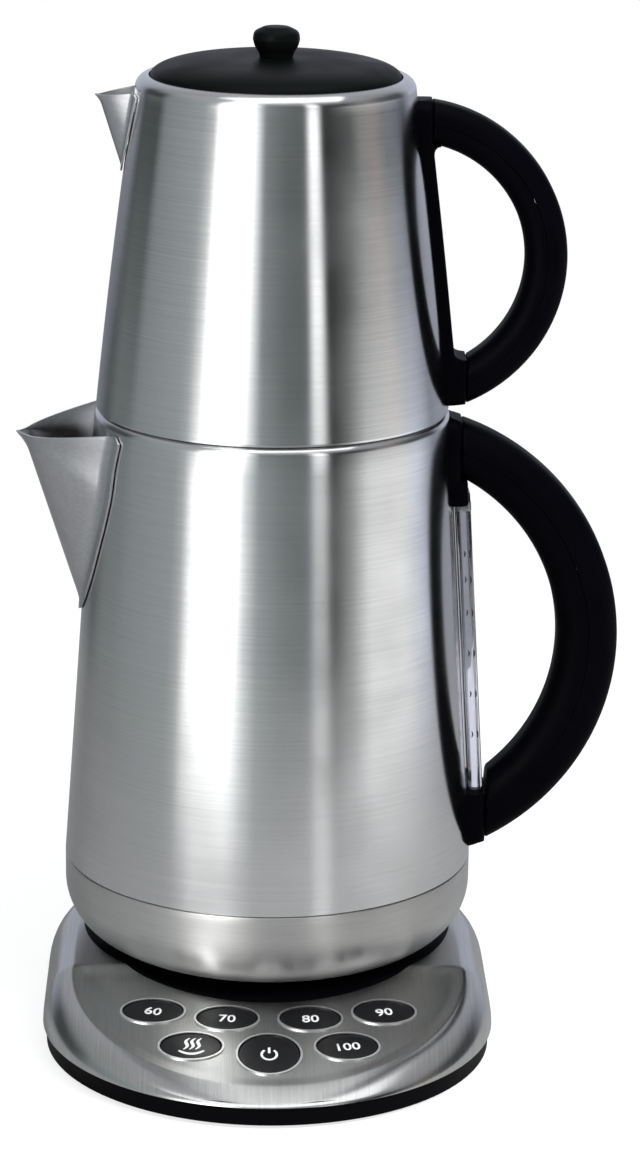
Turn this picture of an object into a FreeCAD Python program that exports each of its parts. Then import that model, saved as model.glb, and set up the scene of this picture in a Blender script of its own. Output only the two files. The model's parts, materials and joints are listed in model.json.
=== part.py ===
import FreeCAD, Part
import math
import os
import Sketcher

# Two-tier electric tea maker: a teapot stands on a kettle, and the kettle on a cordless power base.
# Millimetres, +Z up. The origin is on the table, on the axis of the two pots. The spouts point to -X,
# the handles to +X, and the button panel faces -Y.

SIZES = {
    # power base: its outline follows the kettle, its panel the edge of the seat
    "foot_rise": 1.5, "foot_radius": 7.0, "foot_spread_x": 60.0, "foot_back_y": 35.0,
    "foot_front_y": 95.0,
    "base_margin": 7.0, "base_reach": 53.2, "skirt_rise": 9.0, "crown_inset": 12.5,
    "cover_rise": 29.0, "steel_wall": 0.8, "plastic_wall": 2.2, "tray_inset": 1.4, "tray_lap": 1.5,
    "panel_tilt": 10.56, "panel_lap": 2.5, "seat_rise": 24.0, "seat_margin": 16.0,
    "assembly_gap": 0.3, "slip_gap": 0.1, "joint_gap": 0.15, "ring_inset": 6.0, "ring_outset": 4.0,
    "rest_ring_rise": 3.2, "boss_radius": 3.5, "boss_margin": 12.5,
    "screw_radius": 1.3, "screw_head_radius": 2.9, "screw_head_height": 2.0, "screw_sink": 2.5,
    "screw_reach": 12.0, "screw_sink_wall": 1.8, "screw_sink_roof": 1.5,
    "post_side": 2.5, "post_inset": 5.0, "hair_gap": 0.02, "close_gap": 0.05,
    # buttons, in the panel's own plane; their places count from the edge of the seat
    "button_half_width": 11.7, "button_back_half_depth": 7.75, "button_front_half_depth": 8.55,
    "power_half_depth": 12.9, "button_gap": 0.35, "button_proud": 0.2, "button_lip": 0.85,
    "button_cap_depth": 2.0, "button_stem_radius": 2.0, "button_stem_length": 1.3,
    "button_travel": 0.6, "bezel_width": 0.8, "bezel_rise": 0.5,
    "outer_button_x": 45.0, "outer_button_out": 6.3, "inner_button_x": 16.2, "inner_button_out": 11.1,
    "side_button_x": 30.0, "side_button_out": 30.0, "power_button_out": 35.2,
    "switch_side": 6.0, "switch_height": 3.0, "plunger_radius": 1.6, "plunger_height": 0.5,
    "board_thickness": 1.6, "board_half_width": 50.0, "board_out": 2.5, "board_length": 42.0,
    # parts under the seat
    "supply_rise": 6.0, "supply_width": 60.0, "supply_length": 40.0, "supply_y": 25.0,
    "relay_width": 20.0, "relay_length": 16.0, "relay_height": 12.0, "relay_inset": 8.0,
    "gland_bore": 3.4, "gland_radius": 5.0, "gland_flange": 6.0, "gland_rise": 8.0,
    "gland_flange_depth": 2.0, "gland_tail": 2.0,
    # cordless connector
    "post_radius": 7.0, "post_height": 14.0, "post_flange": 14.0, "post_lap": 2.0, "post_step": 0.6,
    "ring_depth": 1.0,
    "ring_height": 2.0, "ring_low": 5.0, "ring_high": 9.0, "pin_radius": 1.5, "pin_rise": 3.0,
    "bore_gap": 1.0, "socket_radius": 16.0, "socket_flange": 19.0, "socket_height": 15.4,
    "socket_lip": 1.5, "contact_gap": 0.35,
    # kettle
    "kettle_radius": 82.0, "kettle_top_radius": 69.8, "kettle_height": 183.8,
    "cap_round": 23.5, "cap_straight": 11.0, "seam_gap": 0.6, "shoulder_round": 3.5,
    "mouth_margin": 8.6, "collar_depth": 7.8, "carrier_margin": 8.5, "carrier_wall": 2.0,
    "carrier_lap": 4.0, "carrier_post_circle": 34.0, "carrier_post_radius": 3.2,
    "carrier_head_sink": 0.2, "carrier_head_height": 1.0, "carrier_screw_reach": 10.8,
    "plate_rise": 1.6, "plate_wall": 1.0, "plate_rim": 7.0, "seal_side": 2.0,
    "spreader_margin": 22.0, "spreader_wall": 2.0, "spreader_bore": 5.0,
    "element_margin": 13.0, "element_radius": 3.6,
    "element_angle": 300.0, "terminal_radius": 1.5, "terminal_length": 9.0,
    "terminal_turn": 6.0,
    "sensor_radius": 4.0, "sensor_height": 8.0, "sensor_x": 14.0,
    "cutout_radius": 8.0, "cutout_height": 6.0, "cutout_x": 22.0,
    "kettle_tip_out": 32.0, "kettle_tip_drop": 11.9, "kettle_root_drop": 5.2,
    "kettle_spout_half_width": 39.1, "kettle_spout_depth": 78.3,
    "kettle_vent_half_width": 22.0, "kettle_vent_drop": 14.0, "kettle_vent_depth": 46.0,
    "flange_width": 3.5, "flange_wall": 0.9, "vent_corner_share": 0.35, "tip_share": 0.965,
    # kettle handle and water gauge
    "kettle_grip_over": 0.7, "kettle_grip_under": 5.7, "kettle_grip_reach": 63.0,
    "kettle_grip_depth": 21.0, "kettle_grip_shift_x": 3.4, "kettle_grip_shift_z": 1.1,
    "grip_split": 0.5, "kettle_grip_width": 24.0, "kettle_grip_round": 9.0,
    "grip_wall": 4.0, "grip_gap": 0.4, "kettle_mount_width": 20.0,
    "upper_mount_foot": 40.8, "upper_mount_head": 5.5, "upper_mount_out": 4.5,
    "lower_mount_low": 4.0, "lower_mount_high": 34.0, "lower_mount_out": 6.1,
    "gauge_stand_off": 2.1, "gauge_thickness": 4.4, "gauge_width": 11.0, "gauge_wall": 1.2,
    "gauge_low": 27.0, "gauge_drop": 33.8, "duct_inset": 4.0, "collar_height": 5.5,
    "collar_wall": 0.6, "duct_radius": 1.6, "duct_wall": 0.8, "duct_tail": 1.5, "duct_short": 0.25,
    "upper_screw_shift": 4.0, "lower_screw_rise": 12.0, "block_root": 4.0, "mount_lip": 1.2,
    "mount_toe": 2.5, "gauge_corner_share": 0.35,
    # teapot
    "pot_inset": 0.5, "teapot_top_radius": 54.1, "teapot_height": 130.4,
    "teapot_bulge_radius": 2700.0, "rim_round": 4.8, "lid_recess": 4.8, "ledge_width": 2.5,
    "pan_gap": 0.6, "pan_drop": 12.5,
    "teapot_tip_out": 12.1, "teapot_tip_drop": 8.4, "teapot_root_drop": 6.6,
    "teapot_spout_half_width": 12.6, "teapot_spout_depth": 31.3,
    "teapot_vent_half_width": 6.5, "teapot_vent_drop": 13.0, "teapot_vent_depth": 16.0,
    "teapot_grip_drop": 8.4, "teapot_grip_under": 2.2, "teapot_grip_reach": 51.3,
    "teapot_grip_depth": 16.4, "teapot_grip_width": 20.0, "teapot_grip_round": 7.0,
    "teapot_mount_width": 17.0, "spine_width": 12.0, "spine_proud": 3.7,
    "top_block_foot": 26.4, "top_block_head": 8.9, "top_block_out": 5.6,
    "foot_block_low": 1.3, "foot_screw_rise": 9.0, "foot_block_high": 21.0, "foot_block_out": 6.4,
    # strainer and lid
    "basket_gap": 2.5, "basket_wall": 0.7, "basket_depth": 63.0, "basket_hole_radius": 1.0,
    "basket_hole_pitch": 7.0, "basket_hole_low": 8.0, "basket_hole_columns": 24,
    "basket_hole_rows": 6, "rim_land": 0.4,
    "lid_gap": 0.4, "lid_dome": 6.6, "lid_edge": 3.4, "lid_wall": 2.2, "lid_ring_wall": 1.4,
    "lid_ring_depth": 9.0, "knob_neck": 5.7, "knob_foot": 6.4, "knob_foot_height": 0.7,
    "knob_neck_rise": 3.4, "knob_head": 8.6, "knob_head_rise": 7.6, "knob_height": 12.6,
    "knob_crown": 0.9, "knob_crown_share": 0.62, "knob_neck_round": 7.0, "knob_head_round": 4.6,
    "knob_screw_radius": 1.8, "knob_screw_head": 3.5, "knob_screw_reach": 7.0,
    "knob_screw_head_height": 1.5,
    "handle_screw_radius": 2.0, "handle_screw_head": 3.6, "handle_screw_height": 1.6,
    "handle_screw_reach": 3.0, "screw_head_gap": 0.7,
}

document = FreeCAD.newDocument("TeaMaker")
sheet = document.addObject("Spreadsheet::Sheet", "Sizes")
for row, (alias, number) in enumerate(SIZES.items(), start=1):
    sheet.set("A%d" % row, str(number))
    sheet.setAlias("A%d" % row, alias)
document.recompute()


class Size:
    """A number together with the sheet formula that gives it."""

    def __init__(self, value, formula):
        self.value = value
        self.formula = formula

    def joined(self, other, sign, result):
        return Size(result, "(%s %s %s)" % (self.formula, sign, other.formula))

    def __add__(self, other):
        other = size(other)
        return self.joined(other, "+", self.value + other.value)

    def __radd__(self, other):
        return size(other) + self

    def __sub__(self, other):
        other = size(other)
        return self.joined(other, "-", self.value - other.value)

    def __rsub__(self, other):
        return size(other) - self

    def __mul__(self, other):
        other = size(other)
        return self.joined(other, "*", self.value * other.value)

    def __rmul__(self, other):
        return size(other) * self

    def __truediv__(self, other):
        other = size(other)
        return self.joined(other, "/", self.value / other.value)

    def __rtruediv__(self, other):
        return size(other) / self

    def __neg__(self):
        return Size(-self.value, "(-1 * %s)" % self.formula)


def size(amount):
    """A Size from a fitted size, a sheet alias, a plain number or a Size."""
    if isinstance(amount, Size):
        return amount
    if amount in FITTED:
        return FITTED[amount]
    if isinstance(amount, str):
        return Size(float(SIZES[amount]), "Sizes." + amount)
    return Size(float(amount), repr(float(amount)))


# Sizes that follow others, so that what fits together stays together
FITTED = {}
FITTED["flat_radius"] = size("kettle_radius") - "cap_round"
FITTED["seat_radius"] = size("flat_radius") + "seat_margin"
FITTED["base_radius"] = size("kettle_radius") + "base_margin"
FITTED["boss_circle"] = size("seat_radius") - "boss_margin"
FITTED["panel_back_y"] = size("seat_radius") - "panel_lap"
FITTED["board_back_y"] = size("seat_radius") + "board_out"
for row_name in ("outer", "inner", "side", "power"):
    FITTED[row_name + "_button_y"] = size("seat_radius") + (row_name + "_button_out")
FITTED["carrier_radius"] = size("flat_radius") - "carrier_margin"
FITTED["rest_ring_inner"] = size("carrier_radius") - "ring_inset"
FITTED["rest_ring_outer"] = size("carrier_radius") + "ring_outset"
FITTED["socket_bore"] = size("post_radius") + "bore_gap"
FITTED["contact_bore"] = size("post_radius") + "contact_gap"
FITTED["spreader_radius"] = size("kettle_radius") - "spreader_margin"
FITTED["element_circle"] = size("spreader_radius") - "element_margin"
FITTED["mouth_radius"] = size("kettle_top_radius") - "mouth_margin"
FITTED["upper_mount_low"] = size("kettle_height") - "upper_mount_foot"
FITTED["upper_mount_high"] = size("kettle_height") - "upper_mount_head"
FITTED["gauge_high"] = size("kettle_height") - "gauge_drop"
FITTED["kettle_grip_outer"] = (size("kettle_height") + "kettle_grip_over" + "kettle_grip_under") / 2
FITTED["kettle_grip_inner"] = size("kettle_grip_outer") - "kettle_grip_depth"
FITTED["kettle_grip_rise"] = size("kettle_grip_outer") - "kettle_grip_under"
FITTED["kettle_grip_back"] = size("kettle_grip_outer") - "kettle_grip_reach"
FITTED["teapot_radius"] = size("kettle_top_radius") - "pot_inset"
FITTED["pan_radius"] = size("mouth_radius") - "pan_gap"
FITTED["teapot_grip_outer"] = (size("teapot_height") - "teapot_grip_drop" + "teapot_grip_under") / 2
FITTED["teapot_grip_inner"] = size("teapot_grip_outer") - "teapot_grip_depth"
FITTED["teapot_grip_rise"] = size("teapot_grip_outer") - "teapot_grip_under"
FITTED["teapot_grip_back"] = size("teapot_grip_outer") - "teapot_grip_reach"
FITTED["top_block_low"] = size("teapot_height") - "top_block_foot"
FITTED["top_block_high"] = size("teapot_height") - "top_block_head"
FITTED["lid_bore"] = size("teapot_top_radius") - "rim_round" - "rim_land"
FITTED["lid_radius"] = size("lid_bore") - "lid_gap"
FITTED["basket_radius"] = size("lid_bore") - "ledge_width" - "basket_gap"


def root(amount):
    return Size(math.sqrt(amount.value), "sqrt(%s)" % amount.formula)


def tangent(angle):
    return Size(math.tan(math.radians(angle.value)), "tan(%s)" % angle.formula)


def cosine(angle):
    return Size(math.cos(math.radians(angle.value)), "cos(%s)" % angle.formula)


def sine(angle):
    return Size(math.sin(math.radians(angle.value)), "sin(%s)" % angle.formula)


def slope_angle(rise, run):
    return Size(math.degrees(math.atan2(rise.value, run.value)),
                "atan(%s / %s)" % (rise.formula, run.formula))


def bind(item, **amounts):
    """Tie properties to the sheet; two underscores in a name stand for a dot."""
    for name, amount in amounts.items():
        item.setExpression(name.replace("__", "."), size(amount).formula)
    return item


def place(item, x=0, y=0, z=0, axis=None, angle=None):
    """Tie an object's position, and its turn about one axis, to the sheet."""
    if axis is not None:
        start = size(angle).value
        item.Placement = FreeCAD.Placement(FreeCAD.Vector(), FreeCAD.Rotation(FreeCAD.Vector(*axis), start))
        if isinstance(angle, Size):
            bind(item, Placement__Rotation__Angle=angle)
    return bind(item, Placement__Base__x=x, Placement__Base__y=y, Placement__Base__z=z)


# Sketches and bodies

def new_sketch(body, role, offset=0):
    """A sketch on one of the body's own origin planes, moved along the plane's normal."""
    sketch = body.newObject("Sketcher::SketchObject", body.Name + "_sketch")
    plane = next(item for item in body.Origin.OriginFeatures if item.Role == role)
    sketch.AttachmentSupport = [(plane, "")]
    sketch.MapMode = "FlatFace"
    if isinstance(offset, Size):
        bind(sketch, AttachmentOffset__Base__z=offset)
    return sketch


def arc_between(start, end, radius, left):
    """The arc of under half a turn from start to end, its centre left or right of the way."""
    middle = (start + end) * 0.5
    chord = end - start
    rise = math.sqrt(max(radius * radius - chord.Length * chord.Length / 4, 0.0))
    across = FreeCAD.Vector(-chord.y, chord.x, 0).normalize()
    centre = middle + across * (rise if left else -rise)
    first, last = (start, end) if left else (end, start)
    angles = [math.atan2(point.y - centre.y, point.x - centre.x) for point in (first, last)]
    circle = Part.Circle(centre, FreeCAD.Vector(0, 0, 1), radius)
    return Part.ArcOfCircle(circle, angles[0], angles[1])


def draw(sketch, corners, arcs=None):
    """A closed outline through corners; arcs maps a corner's index to the arc that leaves it."""
    arcs = arcs or {}
    corners = [(size(x), size(y)) for x, y in corners]
    points = [FreeCAD.Vector(x.value, y.value, 0) for x, y in corners]
    first_edge = sketch.GeometryCount
    count = len(points)
    ends = []
    for index, start in enumerate(points):
        end = points[(index + 1) % count]
        if index in arcs:
            radius, side = arcs[index]
            left = side == "left"
            sketch.addGeometry(arc_between(start, end, size(radius).value, left), False)
            ends.append((1, 2) if left else (2, 1))
        else:
            sketch.addGeometry(Part.LineSegment(start, end), False)
            ends.append((1, 2))
    for index, (x, y) in enumerate(corners):
        edge = first_edge + index
        before = first_edge + (index - 1) % count
        begin = ends[index][0]
        sketch.addConstraint(Sketcher.Constraint("Coincident", before, ends[index - 1][1], edge, begin))
        for amount, kind, line in ((x, "DistanceX", -2), (y, "DistanceY", -1)):
            if abs(amount.value) < 1e-9:
                sketch.addConstraint(Sketcher.Constraint("PointOnObject", edge, begin, line))
                continue
            number = sketch.addConstraint(Sketcher.Constraint(kind, edge, begin, amount.value))
            sketch.setExpression("Constraints[%d]" % number, amount.formula)
        if index in arcs:
            radius = size(arcs[index][0])
            number = sketch.addConstraint(Sketcher.Constraint("Radius", edge, radius.value))
            sketch.setExpression("Constraints[%d]" % number, radius.formula)


def new_body(name):
    return document.addObject("PartDesign::Body", name)


def turned(name, corners, arcs=None):
    """A body turned about Z from an outline in the XZ plane."""
    body = new_body(name)
    sketch = new_sketch(body, "XZ_Plane")
    draw(sketch, corners, arcs)
    feature = body.newObject("PartDesign::Revolution", name + "_turn")
    feature.Profile = sketch
    feature.ReferenceAxis = (sketch, ["V_Axis"])
    feature.Angle = 360
    return body


def tube(name, inner, outer, low, high):
    """A plain ring about Z."""
    return turned(name, [(inner, low), (outer, low), (outer, high), (inner, high)])


def pad(body, role, corners, length, arcs=None, offset=0, middle=False, back=False):
    """Add a prism: one way from the plane, or half each way."""
    sketch = new_sketch(body, role, offset)
    draw(sketch, corners, arcs)
    feature = body.newObject("PartDesign::Pad", body.Name + "_pad")
    feature.Profile = sketch
    feature.SideType = "Symmetric" if middle else "One side"
    feature.Reversed = back
    return bind(feature, Length=length)


def pocket(body, role, corners, length, arcs=None, offset=0, middle=False, back=False):
    """Cut a prism out of the body, and check that it cut."""
    document.recompute()
    before = body.Shape.Volume
    sketch = new_sketch(body, role, offset)
    draw(sketch, corners, arcs)
    feature = body.newObject("PartDesign::Pocket", body.Name + "_pocket")
    feature.Profile = sketch
    feature.SideType = "Symmetric" if middle else "One side"
    feature.Reversed = back
    bind(feature, Length=length)
    document.recompute()
    if before - body.Shape.Volume < 0.01:
        raise ValueError(body.Name + ": the pocket cuts nothing")
    return feature


def round_edges(body, wanted, radius):
    """Fillet the tip's edges that the test picks."""
    document.recompute()
    base = body.Tip
    edges = ["Edge%d" % number for number, edge in enumerate(base.Shape.Edges, start=1) if wanted(edge)]
    feature = body.newObject("PartDesign::Fillet", body.Name + "_fillet")
    feature.Base = (base, edges)
    return bind(feature, Radius=radius)


# Simple solids and booleans; a cutting tool starts and ends this far past what it cuts
PAST = 6.0

# Fused pieces run this far into each other
LAP = 0.5


def cylinder(name, radius, height, **where):
    item = document.addObject("Part::Cylinder", name)
    bind(item, Radius=radius, Height=height)
    return place(item, **where)


def box(name, width, depth, height, **where):
    item = document.addObject("Part::Box", name)
    bind(item, Length=width, Width=depth, Height=height)
    return place(item, **where)


def oval(name, half_width, half_depth, low, height):
    """An elliptical disc that stands on the height low of its own frame."""
    ring = document.addObject("Part::Ellipse", name + "_outline")
    if size(half_depth).value > size(half_width).value:
        place(ring, axis=(0, 0, 1), angle=90)
        half_width, half_depth = half_depth, half_width
    bind(ring, MajorRadius=half_width, MinorRadius=half_depth)
    item = document.addObject("Part::Extrusion", name)
    item.Base = ring
    item.DirMode = "Custom"
    item.Dir = FreeCAD.Vector(0, 0, 1)
    item.Solid = True
    bind(item, LengthFwd=height)
    return place(item, z=low)


def fuse(name, *pieces):
    item = document.addObject("Part::MultiFuse", name)
    item.Shapes = list(pieces)
    return item


def cut(name, base, *tools):
    item = document.addObject("Part::Cut", name)
    item.Base = base
    item.Tool = tools[0] if len(tools) == 1 else fuse(name + "_tools", *tools)
    return item


def common(name, first, second):
    item = document.addObject("Part::MultiCommon", name)
    item.Shapes = [first, second]
    return item


def group(name, pieces):
    """Several like solids that share one node."""
    item = document.addObject("Part::Compound", name)
    item.Links = list(pieces)
    return item


nodes = []


def keep(name, item):
    """Name a finished sub-part."""
    item.Label = name
    nodes.append(item)
    return item


# Shared heights and radii

gap = size("assembly_gap")
steel = size("steel_wall")
plastic = size("plastic_wall")
tray_floor = size("foot_rise")
seat_z = size("seat_rise")
kettle_bottom_z = seat_z + "rest_ring_rise" + gap
seam_z = kettle_bottom_z + "cap_round" + "cap_straight"
kettle_top_z = seam_z + "kettle_height"
teapot_bottom_z = kettle_top_z + gap
teapot_rim_z = kettle_top_z + "teapot_height"


def kettle_wall(rise):
    """The outer radius of the kettle's cone at a height over its seam."""
    return size("kettle_radius") - (size("kettle_radius") - "kettle_top_radius") * rise / "kettle_height"


def teapot_wall(rise):
    """The outer radius of the teapot's bulged side at a height over the kettle's top."""
    low = gap + steel
    high = size("teapot_height") - "rim_round"
    along = (rise - low) / (high - low)
    bulge_out = (rise - low) * (high - rise) / (size("teapot_bulge_radius") * 2)
    return size("teapot_radius") - (size("teapot_radius") - "teapot_top_radius") * along + bulge_out


# The stadium outline of the base

def stadium(inset):
    """Corners and arcs of the base's outline, moved in by inset."""
    radius = size("base_radius") - inset
    front = -size("base_reach")
    corners = [(radius, front), (radius, 0), (0, radius), (-radius, 0), (-radius, front), (0, front - radius)]
    arcs = {index: (radius, "left") for index in (1, 2, 4, 5)}
    return corners, arcs


def panel_z(y):
    """Height of the panel's plane at a distance y in front of the axis."""
    return seat_z - (size(y) - "panel_back_y") * tangent(size("panel_tilt"))


def front_slope(name, drop):
    """A wedge above the panel's plane, lowered by drop, that reaches over the whole front."""
    level = size("cover_rise") - drop
    flat_y = size("panel_back_y") - (size("cover_rise") - seat_z) / tangent(size("panel_tilt"))
    far_y = size("base_radius") + "base_reach" + PAST
    top = level + PAST * 2
    body = new_body(name)
    corners = [(-flat_y, level), (-flat_y, top), (-far_y, top), (-far_y, panel_z(far_y) - drop)]
    pad(body, "YZ_Plane", corners, size("base_radius") * 2 + PAST, middle=True)
    return body


CROWN_STEPS = (0.0, 0.12, 0.4, 1.0)


def crown(name, wall):
    """The domed block of the base: lofted through stadiums on a quarter ellipse, then sloped in front."""
    body = new_body(name)
    rise = size("cover_rise") - "skirt_rise"
    sketches = []
    for step in CROWN_STEPS:
        lift = rise * math.sqrt(1 - (1 - step) ** 2)
        low = size("skirt_rise") + lift - (wall if step > 0 else size(wall))
        sketch = new_sketch(body, "XY_Plane", low)
        corners, arcs = stadium(size("crown_inset") * step + wall)
        draw(sketch, corners, arcs)
        sketches.append(sketch)
    feature = body.newObject("PartDesign::AdditiveLoft", name + "_loft")
    feature.Profile = sketches[0]
    feature.Sections = sketches[1:]
    feature.Ruled = True
    return cut(name + "_sloped", body, front_slope(name + "_wedge", wall))


# Power base

def on_panel(item, x, y):
    """Stand a piece on the panel's plane: its own Z points out of the panel."""
    return place(item, x=x, y=-size(y), z=panel_z(y), axis=(1, 0, 0), angle=size("panel_tilt"))


BUTTONS = [
    ("button_60", -size("outer_button_x"), "outer_button_y", "button_back_half_depth"),
    ("button_70", -size("inner_button_x"), "inner_button_y", "button_back_half_depth"),
    ("button_80", size("inner_button_x"), "inner_button_y", "button_back_half_depth"),
    ("button_90", size("outer_button_x"), "outer_button_y", "button_back_half_depth"),
    ("button_keep_warm", -size("side_button_x"), "side_button_y", "button_front_half_depth"),
    ("button_100", size("side_button_x"), "side_button_y", "button_front_half_depth"),
    ("button_power", size(0), "power_button_y", "power_half_depth"),
]

cap_low = size("button_cap_depth")
stem_low = cap_low + "button_stem_length"
plunger_top = stem_low + "button_travel" + size("slip_gap") * 2
switch_top = plunger_top + "plunger_height"
board_top = switch_top + "switch_height"
board_low = board_top + "board_thickness"

hole_tools = []
bezels = []
switches = []
for name, x, y, half_depth in BUTTONS:
    half_width = size("button_half_width")
    half_depth = size(half_depth)
    fit = size("button_gap")
    cap = oval(name + "_cap", half_width, half_depth, -cap_low, cap_low + "button_proud")
    lip = oval(name + "_lip", half_width + fit + "button_lip", half_depth + fit + "button_lip",
               -cap_low, cap_low - steel - gap)
    stem = cylinder(name + "_stem", "button_stem_radius", size("button_stem_length") + LAP, z=-stem_low)
    keep(name, on_panel(fuse(name, cap, lip, stem), x, y))
    hole = oval(name + "_hole", half_width + fit, half_depth + fit, -PAST, PAST * 2)
    hole_tools.append(on_panel(group(name + "_opening", [hole]), x, y))
    rim_outer = oval(name + "_rim", half_width + fit + "bezel_width", half_depth + fit + "bezel_width",
                     0, "bezel_rise")
    rim_inner = oval(name + "_rim_hole", half_width + fit, half_depth + fit, -PAST, PAST * 2)
    bezels.append(on_panel(cut(name + "_bezel", rim_outer, rim_inner), x, y))
    half_side = size("switch_side") / 2
    case = box(name + "_switch_case", "switch_side", "switch_side", "switch_height",
               x=-half_side, y=-half_side, z=-board_top)
    plunger = cylinder(name + "_plunger", "plunger_radius", size("plunger_height") + LAP,
                       z=-switch_top - LAP)
    switches.append(on_panel(fuse(name + "_switch", case, plunger), x, y))
keep("button_bezels", group("button_bezels", bezels))
keep("tact_switches", group("tact_switches", switches))

board_half = size("board_half_width")
keep("control_board", place(
    group("control_board", [box("board_plate", board_half * 2, "board_length", "board_thickness",
                                x=-board_half, y=-size("board_length"), z=-board_low)]),
    y=-size("board_back_y"), z=panel_z("board_back_y"), axis=(1, 0, 0), angle=size("panel_tilt")))

gland_near_y = size("base_radius") - "tray_inset" - plastic - "gland_tail"


def along_y(name, radius, near, far, z):
    """A cylinder along +Y from near to far."""
    return cylinder(name, radius, far - near, y=far, z=z, axis=(1, 0, 0), angle=90)


gland_z = size("gland_rise")
seat_hole = cylinder("seat_hole", "seat_radius", size("cover_rise") + PAST)
bore_near_y = gland_near_y - PAST
bore_far_y = size("base_radius") + PAST
gland_notch = along_y("gland_notch", size("gland_radius") + gap, bore_near_y, bore_far_y, gland_z)
keep("base_top_cover", cut("base_top_cover", crown("cover_outside", size(0)), crown("cover_inside", steel),
                           seat_hole, gland_notch, *hole_tools))

seat_outer = size("seat_radius") - gap
seat_low = seat_z - plastic
seat_dish = turned("seat_dish", [
    ("post_flange", seat_low), (seat_outer, seat_low), (seat_outer, size("cover_rise") - steel / 4),
    (seat_outer - plastic, size("cover_rise") - steel / 4), (seat_outer - plastic, seat_z),
    ("rest_ring_outer", seat_z), ("rest_ring_outer", seat_z + "rest_ring_rise"),
    ("rest_ring_inner", seat_z + "rest_ring_rise"), ("rest_ring_inner", seat_z), ("post_flange", seat_z)])
keep("base_seat", cut("base_seat", seat_dish, front_slope("seat_wedge", steel / 4)))

# Lower tray with its screw bosses and board posts
tray_top = size("skirt_rise") + "tray_lap"
tray_inside = tray_floor + plastic


def stadium_block(name, inset, low, height):
    body = new_body(name)
    corners, arcs = stadium(inset)
    pad(body, "XY_Plane", corners, height, arcs, offset=low)
    return body


tray_outside = stadium_block("tray_outside", size("tray_inset"), tray_floor, tray_top - tray_floor)
tray_hollow = stadium_block("tray_hollow", size("tray_inset") + plastic, tray_inside, tray_top)
boss_offset = size("boss_circle") / math.sqrt(2)
boss_places = [(side_x * boss_offset, side_y * boss_offset) for side_x in (-1, 1) for side_y in (-1, 1)]
bosses = [cylinder("boss", "boss_radius", seat_low - tray_inside, x=x, y=y, z=tray_inside)
          for x, y in boss_places]
inset = size("post_inset")
for side in (-1, 1):
    for y in (size("board_back_y") + inset, size("board_back_y") + "board_length" - inset):
        top = panel_z(y + "post_side") - board_low / cosine(size("panel_tilt")) - "close_gap"
        bosses.append(cylinder("board_post", "post_side", top - tray_inside, x=side * (board_half - inset),
                               y=-y, z=tray_inside))
supply_half = size("supply_width") / 2
for side in (-1, 1):
    for y in (size("supply_y") + inset, size("supply_y") + "supply_length" - inset):
        bosses.append(cylinder("supply_post", "post_side", size("supply_rise") - tray_inside,
                               x=side * (supply_half - inset), y=y, z=tray_inside))
screw_holes = []
screws = []
screw_top = tray_floor + "screw_sink" + "screw_head_height" + "screw_reach"
head_top = tray_floor + "screw_sink" + "screw_head_height"
for x, y in boss_places:
    screw_holes.append(cylinder("screw_sink", size("screw_head_radius") + gap, head_top - tray_floor + LAP,
                                x=x, y=y, z=tray_floor - LAP))
    screw_holes.append(cylinder("screw_bore", "screw_radius", screw_top - tray_floor + LAP, x=x, y=y,
                                z=tray_floor))
    shank = cylinder("screw_shank", size("screw_radius") - "slip_gap", size("screw_reach") + LAP, x=x, y=y,
                     z=head_top - LAP)
    head = cylinder("screw_head", "screw_head_radius", size("screw_head_height"), x=x, y=y,
                    z=head_top - "screw_head_height")
    screws.append(fuse("base_screw", shank, head))
tray_bore = along_y("tray_bore", size("gland_radius") + "close_gap", bore_near_y, bore_far_y, gland_z)
tray_shell = cut("tray_shell", tray_outside, tray_hollow, front_slope("tray_wedge", steel + gap))
boss_rings = [cylinder("boss_base", size("screw_head_radius") + "screw_sink_wall",
                       head_top + "screw_sink_roof" - tray_inside, x=x, y=y, z=tray_inside)
              for x, y in boss_places]
keep("base_bottom_cover", cut("base_bottom_cover", fuse("tray_filled", tray_shell, *bosses, *boss_rings),
                              tray_bore, *screw_holes))
keep("base_screws", group("base_screws", screws))

foot_places = [(0, 0)] + [(side * size("foot_spread_x"), y) for side in (-1, 1)
                          for y in (size("foot_back_y"), -size("foot_front_y"))]
keep("rubber_feet", group("rubber_feet", [cylinder("foot", "foot_radius", "foot_rise", x=x, y=y)
                                          for x, y in foot_places]))

keep("power_board", box("power_board", "supply_width", "supply_length", "board_thickness", x=-supply_half,
                        y="supply_y", z="supply_rise"))
relay_low = size("supply_rise") + "board_thickness"
keep("relay", box("relay", "relay_width", "relay_length", "relay_height", x=-size("relay_width") / 2,
                  y=size("supply_y") + "relay_inset", z=relay_low))

gland_flange_y = size("base_radius") + gap
gland_body = fuse("gland_body",
                  along_y("gland_bush", "gland_radius", gland_near_y, gland_flange_y + LAP, gland_z),
                  along_y("gland_collar", "gland_flange", gland_flange_y,
                          gland_flange_y + "gland_flange_depth", gland_z))
keep("cord_gland", cut("cord_gland", gland_body, along_y("gland_hole", "gland_bore", bore_near_y, bore_far_y,
                                                         gland_z)))

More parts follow.
